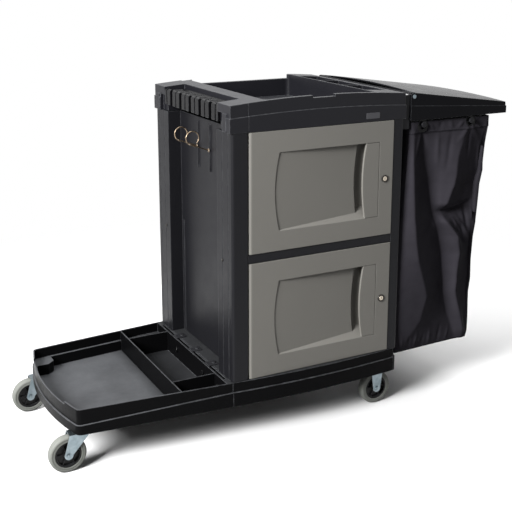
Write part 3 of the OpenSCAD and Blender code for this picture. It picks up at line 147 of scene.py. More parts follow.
floor_look = put(tree, "ShaderNodeMixShader", {0: share, 1: laid.outputs[0], 2: run_out.outputs[0]})
tree.links.new(floor_look.outputs[0], out.inputs["Surface"])
floor_mesh.materials.append(pale_floor)


def soft_light(name, place, aim, size, watts, mirrored=True):
    """A square studio light turned towards a point, which shiny faces may or may not mirror."""
    data = bpy.data.lights.new(name, "AREA")
    data.shape = "SQUARE"
    data.size = size
    data.energy = watts
    light = bpy.data.objects.new(name, data)
    light.location = place
    light.visible_glossy = mirrored
    light.rotation_euler = (Vector(aim) - Vector(place)).to_track_quat("-Z", "Y").to_euler()
    scene.collection.objects.link(light)


soft_light("overhead_light", (0.1, 0.5, 3.1), (0.0, 0.0, 0.4), 2.6, 80.0)
soft_light("key_light", (-3.2, -1.4, 2.25), (0.0, 0.0, 0.55), 1.4, 310.0)
soft_light("fill_light", (-0.4, -3.6, 1.5), (0.0, 0.0, 0.5), 1.5, 5.0)
soft_light("back_light", (2.6, 2.2, 1.9), (0.1, 0.0, 0.5), 2.2, 90.0, mirrored=False)


# Cabinet shell: end panels, back panel, shelf, bag frame and deck clips are injection-moulded black
# polyethylene with a fine spark-eroded grain, screwed and clipped together. Their edges are rounded by the
# mould and painted pale, partly as wear where hands and handles rub them and partly as a painted highlight.
def srgb(red, green, blue):
    """A written 0-255 colour as the linear one that nodes take."""
    parts = [channel / 255.0 for channel in (red, green, blue)]
    return (*(p / 12.92 if p <= 0.04045 else ((p + 0.055) / 1.055) ** 2.4 for p in parts), 1.0)


def shared_effect(name, inputs, outputs):
    """A shader group with named sockets; returns it with its inner inputs and outputs."""
    group = bpy.data.node_groups.new(name, "ShaderNodeTree")
    kinds = {float: "NodeSocketFloat", tuple: "NodeSocketColor"}
    for label, value in inputs.items():
        socket = group.interface.new_socket(label, in_out="INPUT", socket_type=kinds[type(value)])
        socket.default_value = value
    for label, kind in outputs.items():
        group.interface.new_socket(label, in_out="OUTPUT", socket_type="NodeSocket" + kind)
    return group, put(group, "NodeGroupInput").outputs, put(group, "NodeGroupOutput").inputs


def finish_group(tree, group, **values):
    """A shared effect placed in a material, with its own values; names are written with underscores."""
    node = put(tree, "ShaderNodeGroup", node_tree=group)
    for label, value in values.items():
        node.inputs[label.replace("_", " ")].default_value = value
    return node.outputs


def product(tree, first, *factors, clamp=False):
    """Several values multiplied, and held between 0 and 1 if asked."""
    for factor in factors:
        first = sum_of(tree, "MULTIPLY", first, factor, clamp)
    return first


def swing(tree, value, reach):
    """A noise value turned into one that swings about nought."""
    return product(tree, sum_of(tree, "SUBTRACT", value, 0.5), reach)


def blended(tree, share, first, second):
    """One colour laid over another by a share."""
    sockets = {"Factor": share, 6: first, 7: second}
    return put(tree, "ShaderNodeMix", sockets, data_type="RGBA").outputs[2]


def bumped(tree, strength, depth, height, normal=None):
    """The normal of a surface with fine relief, over another normal where one is given."""
    sockets = {"Strength": strength, "Distance": depth, "Height": height}
    if normal is not None:
        sockets["Normal"] = normal
    return put(tree, "ShaderNodeBump", sockets).outputs[0]


def surfaced(tree, out, colour, roughness, normal, **constants):
    """Ends a material in a Principled shader; constants are its other sockets, with underscores."""
    sockets = {"Base Color": colour, "Roughness": roughness, "Normal": normal}
    sockets.update({label.replace("_", " "): value for label, value in constants.items()})
    shader = put(tree, "ShaderNodeBsdfPrincipled", sockets)
    tree.links.new(shader.outputs[0], out.inputs["Surface"])


moulded_skin, given, result = shared_effect(
    "moulded_skin",
    {"Colour": (0.5, 0.5, 0.5, 1.0), "Drift": 0.1, "Grain": 900.0, "Roughness": 0.45,
     "Roughness Drift": 0.06},
    {"Colour": "Color", "Roughness": "Float", "Height": "Float"},
)
place = own_place(moulded_skin)
flow = swing(moulded_skin, noise(moulded_skin, place, 5.0, 5.0, 0.6), 4.0)
lift = sum_of(moulded_skin, "ADD", product(moulded_skin, flow, given["Drift"]), 1.0)
shaded = put(moulded_skin, "ShaderNodeVectorMath", {0: given["Colour"], "Scale": lift}, operation="SCALE")
moulded_skin.links.new(shaded.outputs[0], result["Colour"])
gloss = swing(moulded_skin, noise(moulded_skin, place, 21.0, 6.0, 0.65), 4.0)
uneven = product(moulded_skin, gloss, given["Roughness Drift"])
rough = sum_of(moulded_skin, "ADD", uneven, given["Roughness"], clamp=True)
moulded_skin.links.new(rough, result["Roughness"])
moulded_skin.links.new(noise(moulded_skin, place, given["Grain"], 2.0, 0.6), result["Height"])

# The edge mask below is partly wear and partly a painted highlight along the rounded edges.
rounded_edge, given, result = shared_effect(
    "rounded_edge",
    {"Radius": 0.002, "Wear": 0.5, "Break": 60.0},
    {"Wear": "Float", "Normal": "Vector"},
)
place = own_place(rounded_edge)
soft_normal = put(rounded_edge, "ShaderNodeBevel", {"Radius": given["Radius"]}, samples=6).outputs[0]
flat_normal = put(rounded_edge, "ShaderNodeNewGeometry").outputs["True Normal"]
both_normals = {0: soft_normal, 1: flat_normal}
along = put(rounded_edge, "ShaderNodeVectorMath", both_normals, operation="DOT_PRODUCT").outputs["Value"]
turned = ranged(rounded_edge, along, 0.985, 0.80)
kept = ranged(rounded_edge, noise(rounded_edge, place, given["Break"], 4.0), 0.20, 0.74)
wear_and_highlight_mask = product(rounded_edge, turned, kept, given["Wear"], clamp=True)
rounded_edge.links.new(wear_and_highlight_mask, result["Wear"])
rounded_edge.links.new(soft_normal, result["Normal"])

# rub_marks: pale strokes on level faces, and a film on level faces that is partly dust and partly painted
# sheen.
rub_marks, given, result = shared_effect(
    "rub_marks",
    {"Amount": 0.4, "Film": 0.1, "Film Reach": 9.0, "Spacing": 9.0},
    {"Marks": "Float", "DustAndSheen": "Float"},
)
place = own_place(rub_marks)
flat_normal = put(rub_marks, "ShaderNodeNewGeometry").outputs["True Normal"]
upward = put(rub_marks, "ShaderNodeSeparateXYZ", {0: flat_normal}).outputs["Z"]
lying = ranged(rub_marks, upward, 0.75, 0.95)
strokes = 0.0
for angle, stretch in ((0.35, 16.0), (-0.95, 22.0), (1.45, 13.0)):
    spun = put(rub_marks, "ShaderNodeVectorRotate", {
        "Vector": place, "Angle": angle}, rotation_type="Z_AXIS")
    drawn = put(rub_marks, "ShaderNodeVectorMath", {
        0: spun.outputs[0], 1: (1.0, stretch, 1.0)}, operation="MULTIPLY")
    streak = noise(rub_marks, drawn.outputs[0], given["Spacing"], 2.0)
    strokes = sum_of(rub_marks, "MAXIMUM", ranged(rub_marks, streak, 0.66, 0.74), strokes)
rub_marks.links.new(product(rub_marks, strokes, given["Amount"], lying, clamp=True), result["Marks"])
film_patches = ranged(rub_marks, noise(rub_marks, place, 7.0, 7.0, 0.7), 0.30, 0.70, 0.6, 1.0)
# Over the last 0.06 before Film Reach along X the film drops to 0.35 of itself and stays so beyond: painted
# shade over the deck's compartments.
shade_fade_length, film_left_in_shade = 0.06, 0.35
forward = put(rub_marks, "ShaderNodeSeparateXYZ", {0: place}).outputs["X"]
shade_fade_start = sum_of(rub_marks, "SUBTRACT", given["Film Reach"], shade_fade_length)
painted_compartment_shade = ranged(rub_marks, forward, shade_fade_start, given["Film Reach"], 1.0, film_left_in_shade)
rub_marks.links.new(product(rub_marks, film_patches, painted_compartment_shade, lying, given["Film"], clamp=True), result["DustAndSheen"])


def moulded_plastic(name, colour, wear_dust_and_highlight_colour, shine, specular, grain=900.0, drift=0.08, radius=0.0022,
                    edge_wear_and_highlight=0.5, marks=0.3, dust_and_sheen=0.05, compartment_shade_start=9.0, pitting=0.22):
    """Satin moulded plastic: grain, soft edges pale with wear and painted highlight, rub marks, and dust
    with painted sheen on level faces.
    """
    mark_share, dust_dulling, pit_depth = 0.8, 0.12, 0.0006
    material, tree, out = new_material(name)
    skin = finish_group(
        tree, moulded_skin, Colour=colour, Drift=drift, Grain=grain, Roughness=shine, Roughness_Drift=0.05)
    edge = finish_group(tree, rounded_edge, Radius=radius, Wear=edge_wear_and_highlight, Break=55.0)
    rubs = finish_group(tree, rub_marks, Amount=marks, Film=dust_and_sheen, Film_Reach=compartment_shade_start, Spacing=8.0)
    # Paleness from worn edges, dust and rub marks, which also paints edge highlights and a sheen on level
    # faces.
    pale = sum_of(tree, "MAXIMUM", edge["Wear"], rubs["DustAndSheen"])
    pale = sum_of(tree, "MAXIMUM", pale, product(tree, rubs["Marks"], mark_share), clamp=True)
    dulled = sum_of(tree, "ADD", skin["Roughness"], product(tree, rubs["DustAndSheen"], dust_dulling), clamp=True)
    relief = bumped(tree, pitting, pit_depth, skin["Height"], edge["Normal"])
    coloured = blended(tree, pale, skin["Colour"], wear_dust_and_highlight_colour)
    surfaced(tree, out, coloured, dulled, relief, Specular_IOR_Level=specular)
    return material


def wear_finish(material, *names):
    """Gives CAD nodes, whose shape is right as it is, their finish."""
    for name in names:
        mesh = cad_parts[name].data
        mesh.materials.clear()
        mesh.materials.append(material)


# Pale grey over edges and level faces: wear and dust, and also painted edge highlight and painted sheen.
wear_dust_and_highlight_grey = srgb(138, 140, 144)
shell_black = moulded_plastic(
    "shell_black", srgb(23, 23, 26), wear_dust_and_highlight_grey, 0.42, 0.14, edge_wear_and_highlight=0.22, radius=0.003, marks=0.1)
wear_finish(shell_black, "left_end_panel", "right_end_panel", "back_panel", "middle_shelf")
wear_finish(shell_black, "bag_frame", "deck_clips")


# Base and deck: two darker mouldings of the same plastic, bolted end to end, with a loose moulding of walls
# that parts the deck's rear. The deck's open floor is painted pale, partly as dust and partly as a painted
# sheen, and the paleness thins out towards the compartments as painted shade.
# The heavy film paints a sheen on the deck's floor as well as dust; from Film Reach on it is painted shade.
deck_black = moulded_plastic(
    "deck_black", srgb(10, 10, 11), wear_dust_and_highlight_grey, 0.34, 0.03, edge_wear_and_highlight=0.60, radius=0.0032, marks=0.10,
    dust_and_sheen=0.37, compartment_shade_start=-0.35)
wear_finish(deck_black, "base_pan", "front_deck", "compartment_walls")


# Tool tray and comb: the tray is one black moulding that caps the cabinet. The comb, a row of springy tines
# that grip upright handles, is a second one, let into the tray's open bay.
tray_black = moulded_plastic(
    "tray_black", srgb(26, 26, 30), wear_dust_and_highlight_grey, 0.38, 0.15, edge_wear_and_highlight=0.45, radius=0.003, marks=0.08,
    dust_and_sheen=0.08)
comb_black = moulded_plastic(
    "comb_black", srgb(13, 13, 15), wear_dust_and_highlight_grey, 0.30, 0.12, edge_wear_and_highlight=0.22, radius=0.003, marks=0.0, dust_and_sheen=0.0)
wear_finish(tray_black, "top_tray")
wear_finish(comb_black, "tool_comb")


# Doors: two warm grey mouldings with a fine grain, alike but for their height, each hung on pins in the
# shelf lip and the frame, with a slanting finger recess in the face.
door_grey = moulded_plastic(
    "door_grey", srgb(121, 119, 114), srgb(160, 158, 152), 0.52, 0.25, drift=0.025, radius=0.0026,
    edge_wear_and_highlight=0.22, marks=0.15)
wear_finish(door_grey, "upper_door", "lower_door")


# Locks and hinge pins: die-cast cam locks in dark nickel with bright plugs, let into the doors up to their
# flange, and cams and hinge pins of steel with blue-passivated zinc plating.
plating, given, result = shared_effect(
    "plating",
    {"Colour": (0.7, 0.7, 0.7, 1.0), "Tint": (0.6, 0.6, 0.5, 1.0), "Patch": 40.0, "Roughness": 0.3,
     "Roughness Drift": 0.1},
    {"Colour": "Color", "Roughness": "Float", "Height": "Float"},
)
place = own_place(plating)
bloom = ranged(plating, noise(plating, place, given["Patch"], 4.0, 0.6), 0.35, 0.68)
plating.links.new(blended(plating, bloom, given["Colour"], given["Tint"]), result["Colour"])
haze = swing(plating, noise(plating, place, 160.0, 5.0), 3.0)
uneven = product(plating, haze, given["Roughness Drift"])
plating.links.new(sum_of(plating, "ADD", uneven, given["Roughness"], clamp=True), result["Roughness"])
plating.links.new(noise(plating, place, 700.0, 3.0), result["Height"])


def plated_metal(name, colour, tint, roughness):
    """Plated steel or die casting: patchy plating colour, hazy shine and softened edges."""
    rolling, rolling_depth, bare_edge = 0.12, 0.0003, srgb(225, 226, 224)
    material, tree, out = new_material(name)
    coat = finish_group(
        tree, plating, Colour=colour, Tint=tint, Patch=45.0, Roughness=roughness, Roughness_Drift=0.10)
    edge = finish_group(tree, rounded_edge, Radius=0.0007, Wear=0.5, Break=220.0)
    rubbed = blended(tree, edge["Wear"], coat["Colour"], bare_edge)
    relief = bumped(tree, rolling, rolling_depth, coat["Height"], edge["Normal"])
    surfaced(tree, out, rubbed, coat["Roughness"], relief, Metallic=1.0)
    return material


lock_nickel = plated_metal("lock_nickel", srgb(60, 57, 54), srgb(48, 46, 44), 0.34)
plug_nickel = plated_metal("plug_nickel", srgb(206, 196, 180), srgb(176, 164, 148), 0.30)
blue_zinc = plated_metal("blue_zinc", srgb(136, 147, 152), srgb(112, 124, 130), 0.36)
for door in ("upper", "lower"):
    wear_finish(lock_nickel, door + "_lock_body")
    wear_finish(plug_nickel, door + "_lock_plug")
    wear_finish(blue_zinc, door + "_lock_cam", door + "_hinge_pins")


# Bolts and screws: zinc-plated steel, blue where they hold the bag frame and the rear brackets, black where
# they hold the deck and the back panel.
black_zinc = plated_metal("black_zinc", srgb(46, 46, 48), srgb(36, 36, 38), 0.42)
wear_finish(blue_zinc, "frame_screws", "bracket_bolts")
wear_finish(black_zinc, "deck_bolts", "panel_screws")


# Tool hooks: steel wire bent into an open loop and plated in yellowish zinc, with a shank that is screwed
# into the ribs of the left end panel.
hook_zinc = plated_metal("hook_zinc", srgb(156, 138, 116), srgb(116, 102, 88), 0.34)
wear_finish(hook_zinc, "near_wire_hook", "far_wire_hook")


# Post screws: a pan-head screw with a round socket in each corner post's outer face holds the shelf rail
# inside. They are dark plated steel, driven straight into the moulding.
repeat_tree = bpy.data.node_groups.new("repeat_on_points", "GeometryNodeTree")
for label, kind in (("Geometry", "Geometry"), ("Piece", "Object"), ("Finish", "Material"),
                    ("Size", "Float"), ("Size Spread", "Float"), ("Seed", "Int")):
    repeat_tree.interface.new_socket(label, in_out="INPUT", socket_type="NodeSocket" + kind)
repeat_tree.interface.new_socket("Geometry", in_out="OUTPUT", socket_type="NodeSocketGeometry")
given = put(repeat_tree, "NodeGroupInput").outputs
points = put(repeat_tree, "GeometryNodeMeshToPoints", {"Mesh": given["Geometry"]})
turn = put(repeat_tree, "GeometryNodeInputNamedAttribute", {"Name": "turn"}, data_type="FLOAT_VECTOR")
facing = put(repeat_tree, "FunctionNodeEulerToRotation", {"Euler": turn.outputs[0]})
piece = put(repeat_tree, "GeometryNodeObjectInfo", {"Object": given["Piece"], "As Instance": True})
least = sum_of(repeat_tree, "SUBTRACT", given["Size"], given["Size Spread"])
most = sum_of(repeat_tree, "ADD", given["Size"], given["Size Spread"])
grown = put(repeat_tree, "FunctionNodeRandomValue", {2: least, 3: most, "Seed": given["Seed"]})
placed = put(repeat_tree, "GeometryNodeInstanceOnPoints", {
    "Points": points.outputs[0], "Instance": piece.outputs["Geometry"],
    "Rotation": facing.outputs[0], "Scale": grown.outputs[1]})
solid = put(repeat_tree, "GeometryNodeRealizeInstances", {"Geometry": placed.outputs[0]})
finished = put(repeat_tree, "GeometryNodeSetMaterial", {
    "Geometry": solid.outputs[0], "Material": given["Finish"]})
put(repeat_tree, "NodeGroupOutput", {"Geometry": finished.outputs[0]})


def repeated(name, spots, turns, form, finish, spread):
    """A mesh of one small form set at many spots, each turned its own way, made by the repeat tree."""
    pattern = bpy.data.objects.new(name + "_form", bpy.data.meshes.new(name + "_form"))
    form.to_mesh(pattern.data)
    form.free()
    mesh = bpy.data.meshes.new(name)
    mesh.from_pydata([tuple(spot) for spot in spots], [], [])
    turn = mesh.attributes.new("turn", "FLOAT_VECTOR", "POINT")
    turn.data.foreach_set("vector", np.array(turns, dtype=float).ravel())
    row = bpy.data.objects.new(name, mesh)
    scene.collection.objects.link(row)
    repeat = row.modifiers.new("repeat", "NODES")
    repeat.node_group = repeat_tree
    values = {"Piece": pattern, "Finish": finish, "Size": 1.0, "Size Spread": spread, "Seed": 7}
    for item in repeat_tree.interface.items_tree:
        if item.in_out == "INPUT" and item.name in values:
            repeat[item.identifier] = values[item.name]
    made = bpy.data.meshes.new_from_object(row.evaluated_get(bpy.context.evaluated_depsgraph_get()))
    row.modifiers.remove(repeat)
    row.data = made
    bpy.data.objects.remove(pattern)
    return row


def close_rings(form, rings):
    """Walls from ring to ring of vertices, and a face over each end."""
    sides = len(rings[0])
    for lower, upper in zip(rings, rings[1:]):
        for side in range(sides):
            after = (side + 1) % sides
            form.faces.new((lower[side], lower[after], upper[after], upper[side]))
    form.faces.new(list(reversed(rings[0])))
    form.faces.new(rings[-1])
    bmesh.ops.recalc_face_normals(form, faces=form.faces)


def turned_form(profile, sides):
    """A bmesh turned about Z from (radius, height) pairs, closed at both ends."""
    form = bmesh.new()
    angles = [2.0 * math.pi * side / sides for side in range(sides)]
    close_rings(form, [
        [form.verts.new((radius * math.cos(a), radius * math.sin(a), height)) for a in angles]
        for radius, height in profile])
    return form


def seat_on(node, start, direction):
    """Where a ray from a point first meets a CAD node."""
    met, spot, _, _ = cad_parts[node].ray_cast(Vector(start), Vector(direction))
    if not met:
        raise ValueError("nothing of " + node + " lies that way")
    return spot


screw_level, screw_side, screw_sides = 0.532, 0.207, 18
screw_head = (
    (0.0046, -0.0010), (0.0046, 0.0009), (0.0040, 0.0019), (0.0027, 0.0025), (0.0019, 0.0025),
    (0.0018, 0.0010))
screw_spots = [
    seat_on("left_end_panel", (-0.30, side, screw_level), (1.0, 0.0, 0.0))
    for side in (-screw_side, screw_side)]
screw_turns = [(0.0, -math.pi / 2.0, 0.0)] * len(screw_spots)
post_screws = repeated(
    "post_screws", screw_spots, screw_turns, turned_form(screw_head, screw_sides), lock_nickel, 0.0)
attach(post_screws, "cart")


# Blank plate: a plain satin plate with rounded corners, pressed from sheet and stuck on the tray's near
# band by the lid end.
plate_half, plate_round, plate_thick, plate_sides = (0.023, 0.0085), 0.003, 0.0011, 24
plate_bed, plate_chamfer, plate_face = 0.0006, 0.0003, 0.985
plate_spot = seat_on("top_tray", (0.2345, -0.40, 0.919), (0.0, 1.0, 0.0))
plate_form = bmesh.new()
rim = []
for step in range(plate_sides):
    angle = 2.0 * math.pi * (step + 0.5) / plate_sides
    across = math.copysign(plate_half[0] - plate_round, math.cos(angle)) + plate_round * math.cos(angle)
    up = math.copysign(plate_half[1] - plate_round, math.sin(angle)) + plate_round * math.sin(angle)
    rim.append((across, up))
plate_steps = ((1.0, plate_bed), (1.0, plate_chamfer - plate_thick), (plate_face, -plate_thick))
close_rings(plate_form, [
    [plate_form.verts.new(plate_spot + Vector((x * shrink, depth, z * shrink))) for x, z in rim]
    for shrink, depth in plate_steps])
plate_mesh = bpy.data.meshes.new("blank_plate")
plate_form.to_mesh(plate_mesh)
plate_form.free()
blank_plate = bpy.data.objects.new("blank_plate", plate_mesh)
scene.collection.objects.link(blank_plate)
plate_grey = moulded_plastic(
    "plate_grey", srgb(70, 70, 74), srgb(130, 130, 134), 0.34, 0.30, radius=0.0006, marks=0.2)
plate_mesh.materials.append(plate_grey)
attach(blank_plate, "cart")


# Wheels: non-marking grey rubber tyres moulded on black nylon hubs, in pressed zinc forks in front and
# pressed brackets behind. The tread carries the floor's dirt, and the hub faces are dished.
soil_share, tyre_pitting, tyre_pit_depth, tyre_specular = 0.55, 0.25, 0.0006, 0.3
grey_tyre, tree, out = new_material("grey_tyre")
skin = finish_group(
    tree, moulded_skin, Colour=srgb(126, 128, 123), Drift=0.05, Grain=500.0, Roughness=0.62,
    Roughness_Drift=0.05)
edge = finish_group(tree, rounded_edge, Radius=0.003, Wear=0.25, Break=90.0)
soiled = ranged(tree, noise(tree, own_place(tree), 38.0, 6.0, 0.7), 0.50, 0.74, 0.0, soil_share)
coloured = blended(tree, soiled, skin["Colour"], srgb(96, 96, 92))
relief = bumped(tree, tyre_pitting, tyre_pit_depth, skin["Height"], edge["Normal"])
surfaced(tree, out, coloured, skin["Roughness"], relief, Specular_IOR_Level=tyre_specular)
hub_black = moulded_plastic(
    "hub_black", srgb(12, 12, 13), wear_dust_and_highlight_grey, 0.28, 0.16, edge_wear_and_highlight=0.20, marks=0.0, radius=0.0012)
for corner in ("near_caster", "far_caster", "near_rear", "far_rear"):
    wear_finish(grey_tyre, corner + "_tyre")
    wear_finish(hub_black, corner + "_hub")
    wear_finish(blue_zinc, corner + "_axle")
for caster in ("near_caster", "far_caster"):
    wear_finish(blue_zinc, caster + "_stem", caster + "_fork", caster + "_race")
wear_finish(blue_zinc, "near_rear_bracket", "far_rear_bracket")


# Bag lid: a crowned black moulding with a smoother, glossier skin than the cabinet, swinging on two
# zinc-plated rivets in the frame's ears.
lid_black = moulded_plastic(
    "lid_black", srgb(16, 16, 19), wear_dust_and_highlight_grey, 0.26, 0.05, edge_wear_and_highlight=0.35, marks=0.01, grain=1300.0, dust_and_sheen=0.0,
    pitting=0.07)
wear_finish(lid_black, "bag_lid")
wear_finish(blue_zinc, "lid_rivets")


# Refuse bag: black coated nylon, cut as one wrap and a bottom, sewn with a turned hem and hung on the
# frame's pegs by pressed eyelets. It hangs in slack folds from the pegs, buckles at half height and slumps
# above its bottom.
seam_to_row = 0.2185
bag_top, hem_edge, bag_bottom = 0.885, 0.851, 0.153
hem_rows, fall_rows = 14, 112
long_columns, end_columns = 124, 56
near_length, end_length = 300.0, 514.0
hem_step, hem_drop = 0.0014, 0.0006
bag_levels = np.array([0.153, 0.175, 0.330, 0.555, 0.720, 0.853, 0.885])
left_wall = np.array([0.572, 0.568, 0.5675, 0.5675, 0.583, 0.5955, 0.5955]) - seam_to_row
right_wall = np.array([0.866, 0.868, 0.869, 0.869, 0.885, 0.9030, 0.9030]) - seam_to_row
half_width = np.array([0.247, 0.250, 0.2525, 0.2585, 0.2580, 0.2560, 0.2560])
left_round = np.array([0.012, 0.008, 0.006, 0.006, 0.008, 0.012, 0.012])
right_round = np.array([0.018, 0.015, 0.014, 0.014, 0.014, 0.012, 0.012])

# Lines of the near side's folds, from the bottom up. Each row has a level and, for every line, its share of
# the side's length and how far the cloth stands out there (mm).
near_folds = (
    (0.152, ((0.00, 2), (0.06, 0), (0.84, -9), (0.89, -7), (0.93, -4), (0.96, -5), (1.00, -5))),
    (0.190, ((0.00, 8), (0.14, 9), (0.80, -13), (0.85, -3), (0.90, 7), (0.95, 0), (1.00, -5))),
    (0.250, ((0.00, 10), (0.29, 16), (0.73, -18), (0.78, -2), (0.83, 12), (0.92, -2), (1.00, -8))),
    (0.329, ((0.00, 9), (0.36, 20), (0.67, -20), (0.71, -2), (0.75, 12), (0.88, -4), (1.00, -14))),
    (0.385, ((0.00, 7), (0.30, 22), (0.65, -22), (0.70, -4), (0.75, 12), (0.88, -4), (1.00, -16))),
    (0.454, ((0.00, 3), (0.22, 23), (0.63, -24), (0.69, -5), (0.78, 13), (0.90, -4), (1.00, -16))),
    (0.515, ((0.00, -2), (0.18, 22), (0.58, -26), (0.63, -8), (0.72, 15), (0.87, -8), (1.00, -12))),
    (0.562, ((0.00, -5), (0.16, 20), (0.51, -26), (0.54, -4), (0.58, 8), (0.80, -15), (1.00, -12))),
    (0.594, ((0.00, -6), (0.14, 18), (0.46, -25), (0.49, -21), (0.54, -19), (0.76, -28), (1.00, -18))),
    (0.622, ((0.00, -5), (0.13, 17), (0.43, -23), (0.48, 2), (0.54, 15), (0.78, -8), (1.00, -20))),
    (0.682, ((0.00, -5), (0.10, 15), (0.37, -21), (0.48, 0), (0.60, 18), (0.82, -6), (1.00, -22))),
    (0.772, ((0.00, -4), (0.06, 12), (0.26, -16), (0.46, 4), (0.61, 16), (0.84, -5), (1.00, -18))),
    (0.853, ((0.00, -2), (0.05, 4), (0.16, -5), (0.46, 1), (0.70, 5), (0.86, -4), (1.00, -3))),
    (0.885, ((0.00, 0), (0.05, 0), (0.16, 0), (0.46, 0), (0.70, 0), (0.86, 0), (1.00, 0))),
)
# Single creases of the near side, at the buckle, under the eyelets, by the bottom seam and in the hem: two
# ends as share and level, then half width and height (mm).
near_creases = (
    ((0.60, 0.590), (0.92, 0.604), 8, -6), ((0.60, 0.574), (0.97, 0.622), 7, -5),
    ((0.58, 0.557), (0.80, 0.482), 6, 6), ((0.66, 0.562), (0.88, 0.486), 6, -7),
    ((0.76, 0.566), (0.95, 0.494), 6, 6), ((0.80, 0.545), (0.86, 0.500), 4, -5),
    ((0.70, 0.560), (0.76, 0.535), 4, 5), ((0.86, 0.614), (0.90, 0.534), 6, -6),
    ((0.95, 0.634), (0.97, 0.560), 5, 5), ((0.46, 0.566), (0.55, 0.536), 6, 4),
    ((0.16, 0.856), (0.10, 0.780), 5, 3), ((0.17, 0.856), (0.24, 0.800), 5, -3),
    ((0.73, 0.856), (0.60, 0.815), 5, 3), ((0.74, 0.856), (0.76, 0.770), 6, -4),
    ((0.75, 0.858), (0.90, 0.820), 6, 5), ((0.84, 0.868), (0.98, 0.850), 6, -4),
    ((0.36, 0.845), (0.40, 0.740), 6, 2.5), ((0.52, 0.845), (0.50, 0.730), 7, -2.5),
    ((0.93, 0.800), (0.97, 0.700), 6, 4), ((0.10, 0.156), (0.08, 0.205), 4, 3),
    ((0.19, 0.156), (0.18, 0.200), 4, -3), ((0.27, 0.156), (0.28, 0.210), 5, 3),
    ((0.36, 0.156), (0.38, 0.195), 4, -3), ((0.46, 0.156), (0.47, 0.205), 5, 3),
    ((0.58, 0.156), (0.62, 0.215), 5, -3), ((0.70, 0.156), (0.74, 0.200), 4, 2.5),
    ((0.88, 0.250), (0.97, 0.170), 5, -3), ((0.235, 0.877), (0.30, 0.858), 5, 3),
    ((0.65, 0.876), (0.59, 0.858), 5, 3), ((0.70, 0.849), (0.80, 0.848), 4, 3),
    ((0.83, 0.880), (0.95, 0.862), 5, -2), ((0.82, 0.862), (0.91, 0.846), 5, 4),
    ((0.39, 0.884), (0.37, 0.858), 6, -2), ((0.49, 0.884), (0.52, 0.856), 6, 2),
)
# The free end's creases, in the same way, along its own width.
end_creases = (
    ((0.03, 0.845), (0.28, 0.600), 15, 7), ((0.97, 0.845), (0.70, 0.580), 15, 7),
    ((0.48, 0.850), (0.45, 0.400), 22, -8), ((0.26, 0.620), (0.35, 0.250), 18, 7),
    ((0.72, 0.590), (0.64, 0.220), 18, 6), ((0.14, 0.450), (0.44, 0.520), 10, -6),
    ((0.56, 0.500), (0.90, 0.420), 10, -6), ((0.30, 0.180), (0.38, 0.300), 10, 4),
    ((0.62, 0.170), (0.58, 0.280), 9, -4), ((0.09, 0.700), (0.12, 0.300), 14, -6),
    ((0.91, 0.660), (0.88, 0.300), 14, -6), ((0.36, 0.800), (0.30, 0.660), 12, -4),
)
# How far the free end bellies out, and the bumps of its outline, as level and mm.
end_belly = ((0.153, 0), (0.328, 6), (0.540, 8), (0.621, 6), (0.702, 4), (0.853, 0), (0.885, 0))
end_bumps = ((0.153, 0), (0.22, 1), (0.31, -3), (0.36, 2), (0.42, -2), (0.50, -2), (0.545, 3), (0.60, 1),
             (0.67, -2), (0.715, 4), (0.74, 0), (0.80, -2), (0.853, 0), (0.885, 0))


def crease_heights(creases, share, level, length):
    """What single creases add along one level of a side of that length (mm)."""
    added = np.zeros_like(share)
    for (share_a, level_a), (share_b, level_b), width, height in creases:
        start = np.array((share_a * length, level_a * 1000.0))
        run = np.array((share_b * length, level_b * 1000.0)) - start
        here = np.stack((share * length, np.full_like(share, level * 1000.0)), axis=1) - start
        part = np.clip(here @ run / (run @ run), 0.0, 1.0)
        away = np.linalg.norm(here - part[:, None] * run, axis=1)
        swell = np.sin(math.pi * np.clip(0.08 + 0.84 * part, 0.0, 1.0))
        added = added + height * swell * np.exp(-((away / width) ** 2))
    return added


def fold_heights(share, level):
    """How far a long side stands out along one level, in metres."""
    fold_levels = [row for row, _ in near_folds]
    lines = np.array([row for _, row in near_folds])
    line_shares, line_heights = (
        [np.interp(level, fold_levels, lines[:, line, part]) for line in range(lines.shape[1])]
        for part in (0, 1))
    mixed = np.interp(share, line_shares, line_heights)
    mixed = mixed + crease_heights(near_creases, share, level, near_length)
    kernel = np.array((1.0, 2.0, 3.0, 2.0, 1.0)) / 9.0
    padded = np.concatenate((mixed[:1].repeat(2), mixed, mixed[-1:].repeat(2)))
    return np.convolve(padded, kernel, mode="valid") / 1000.0


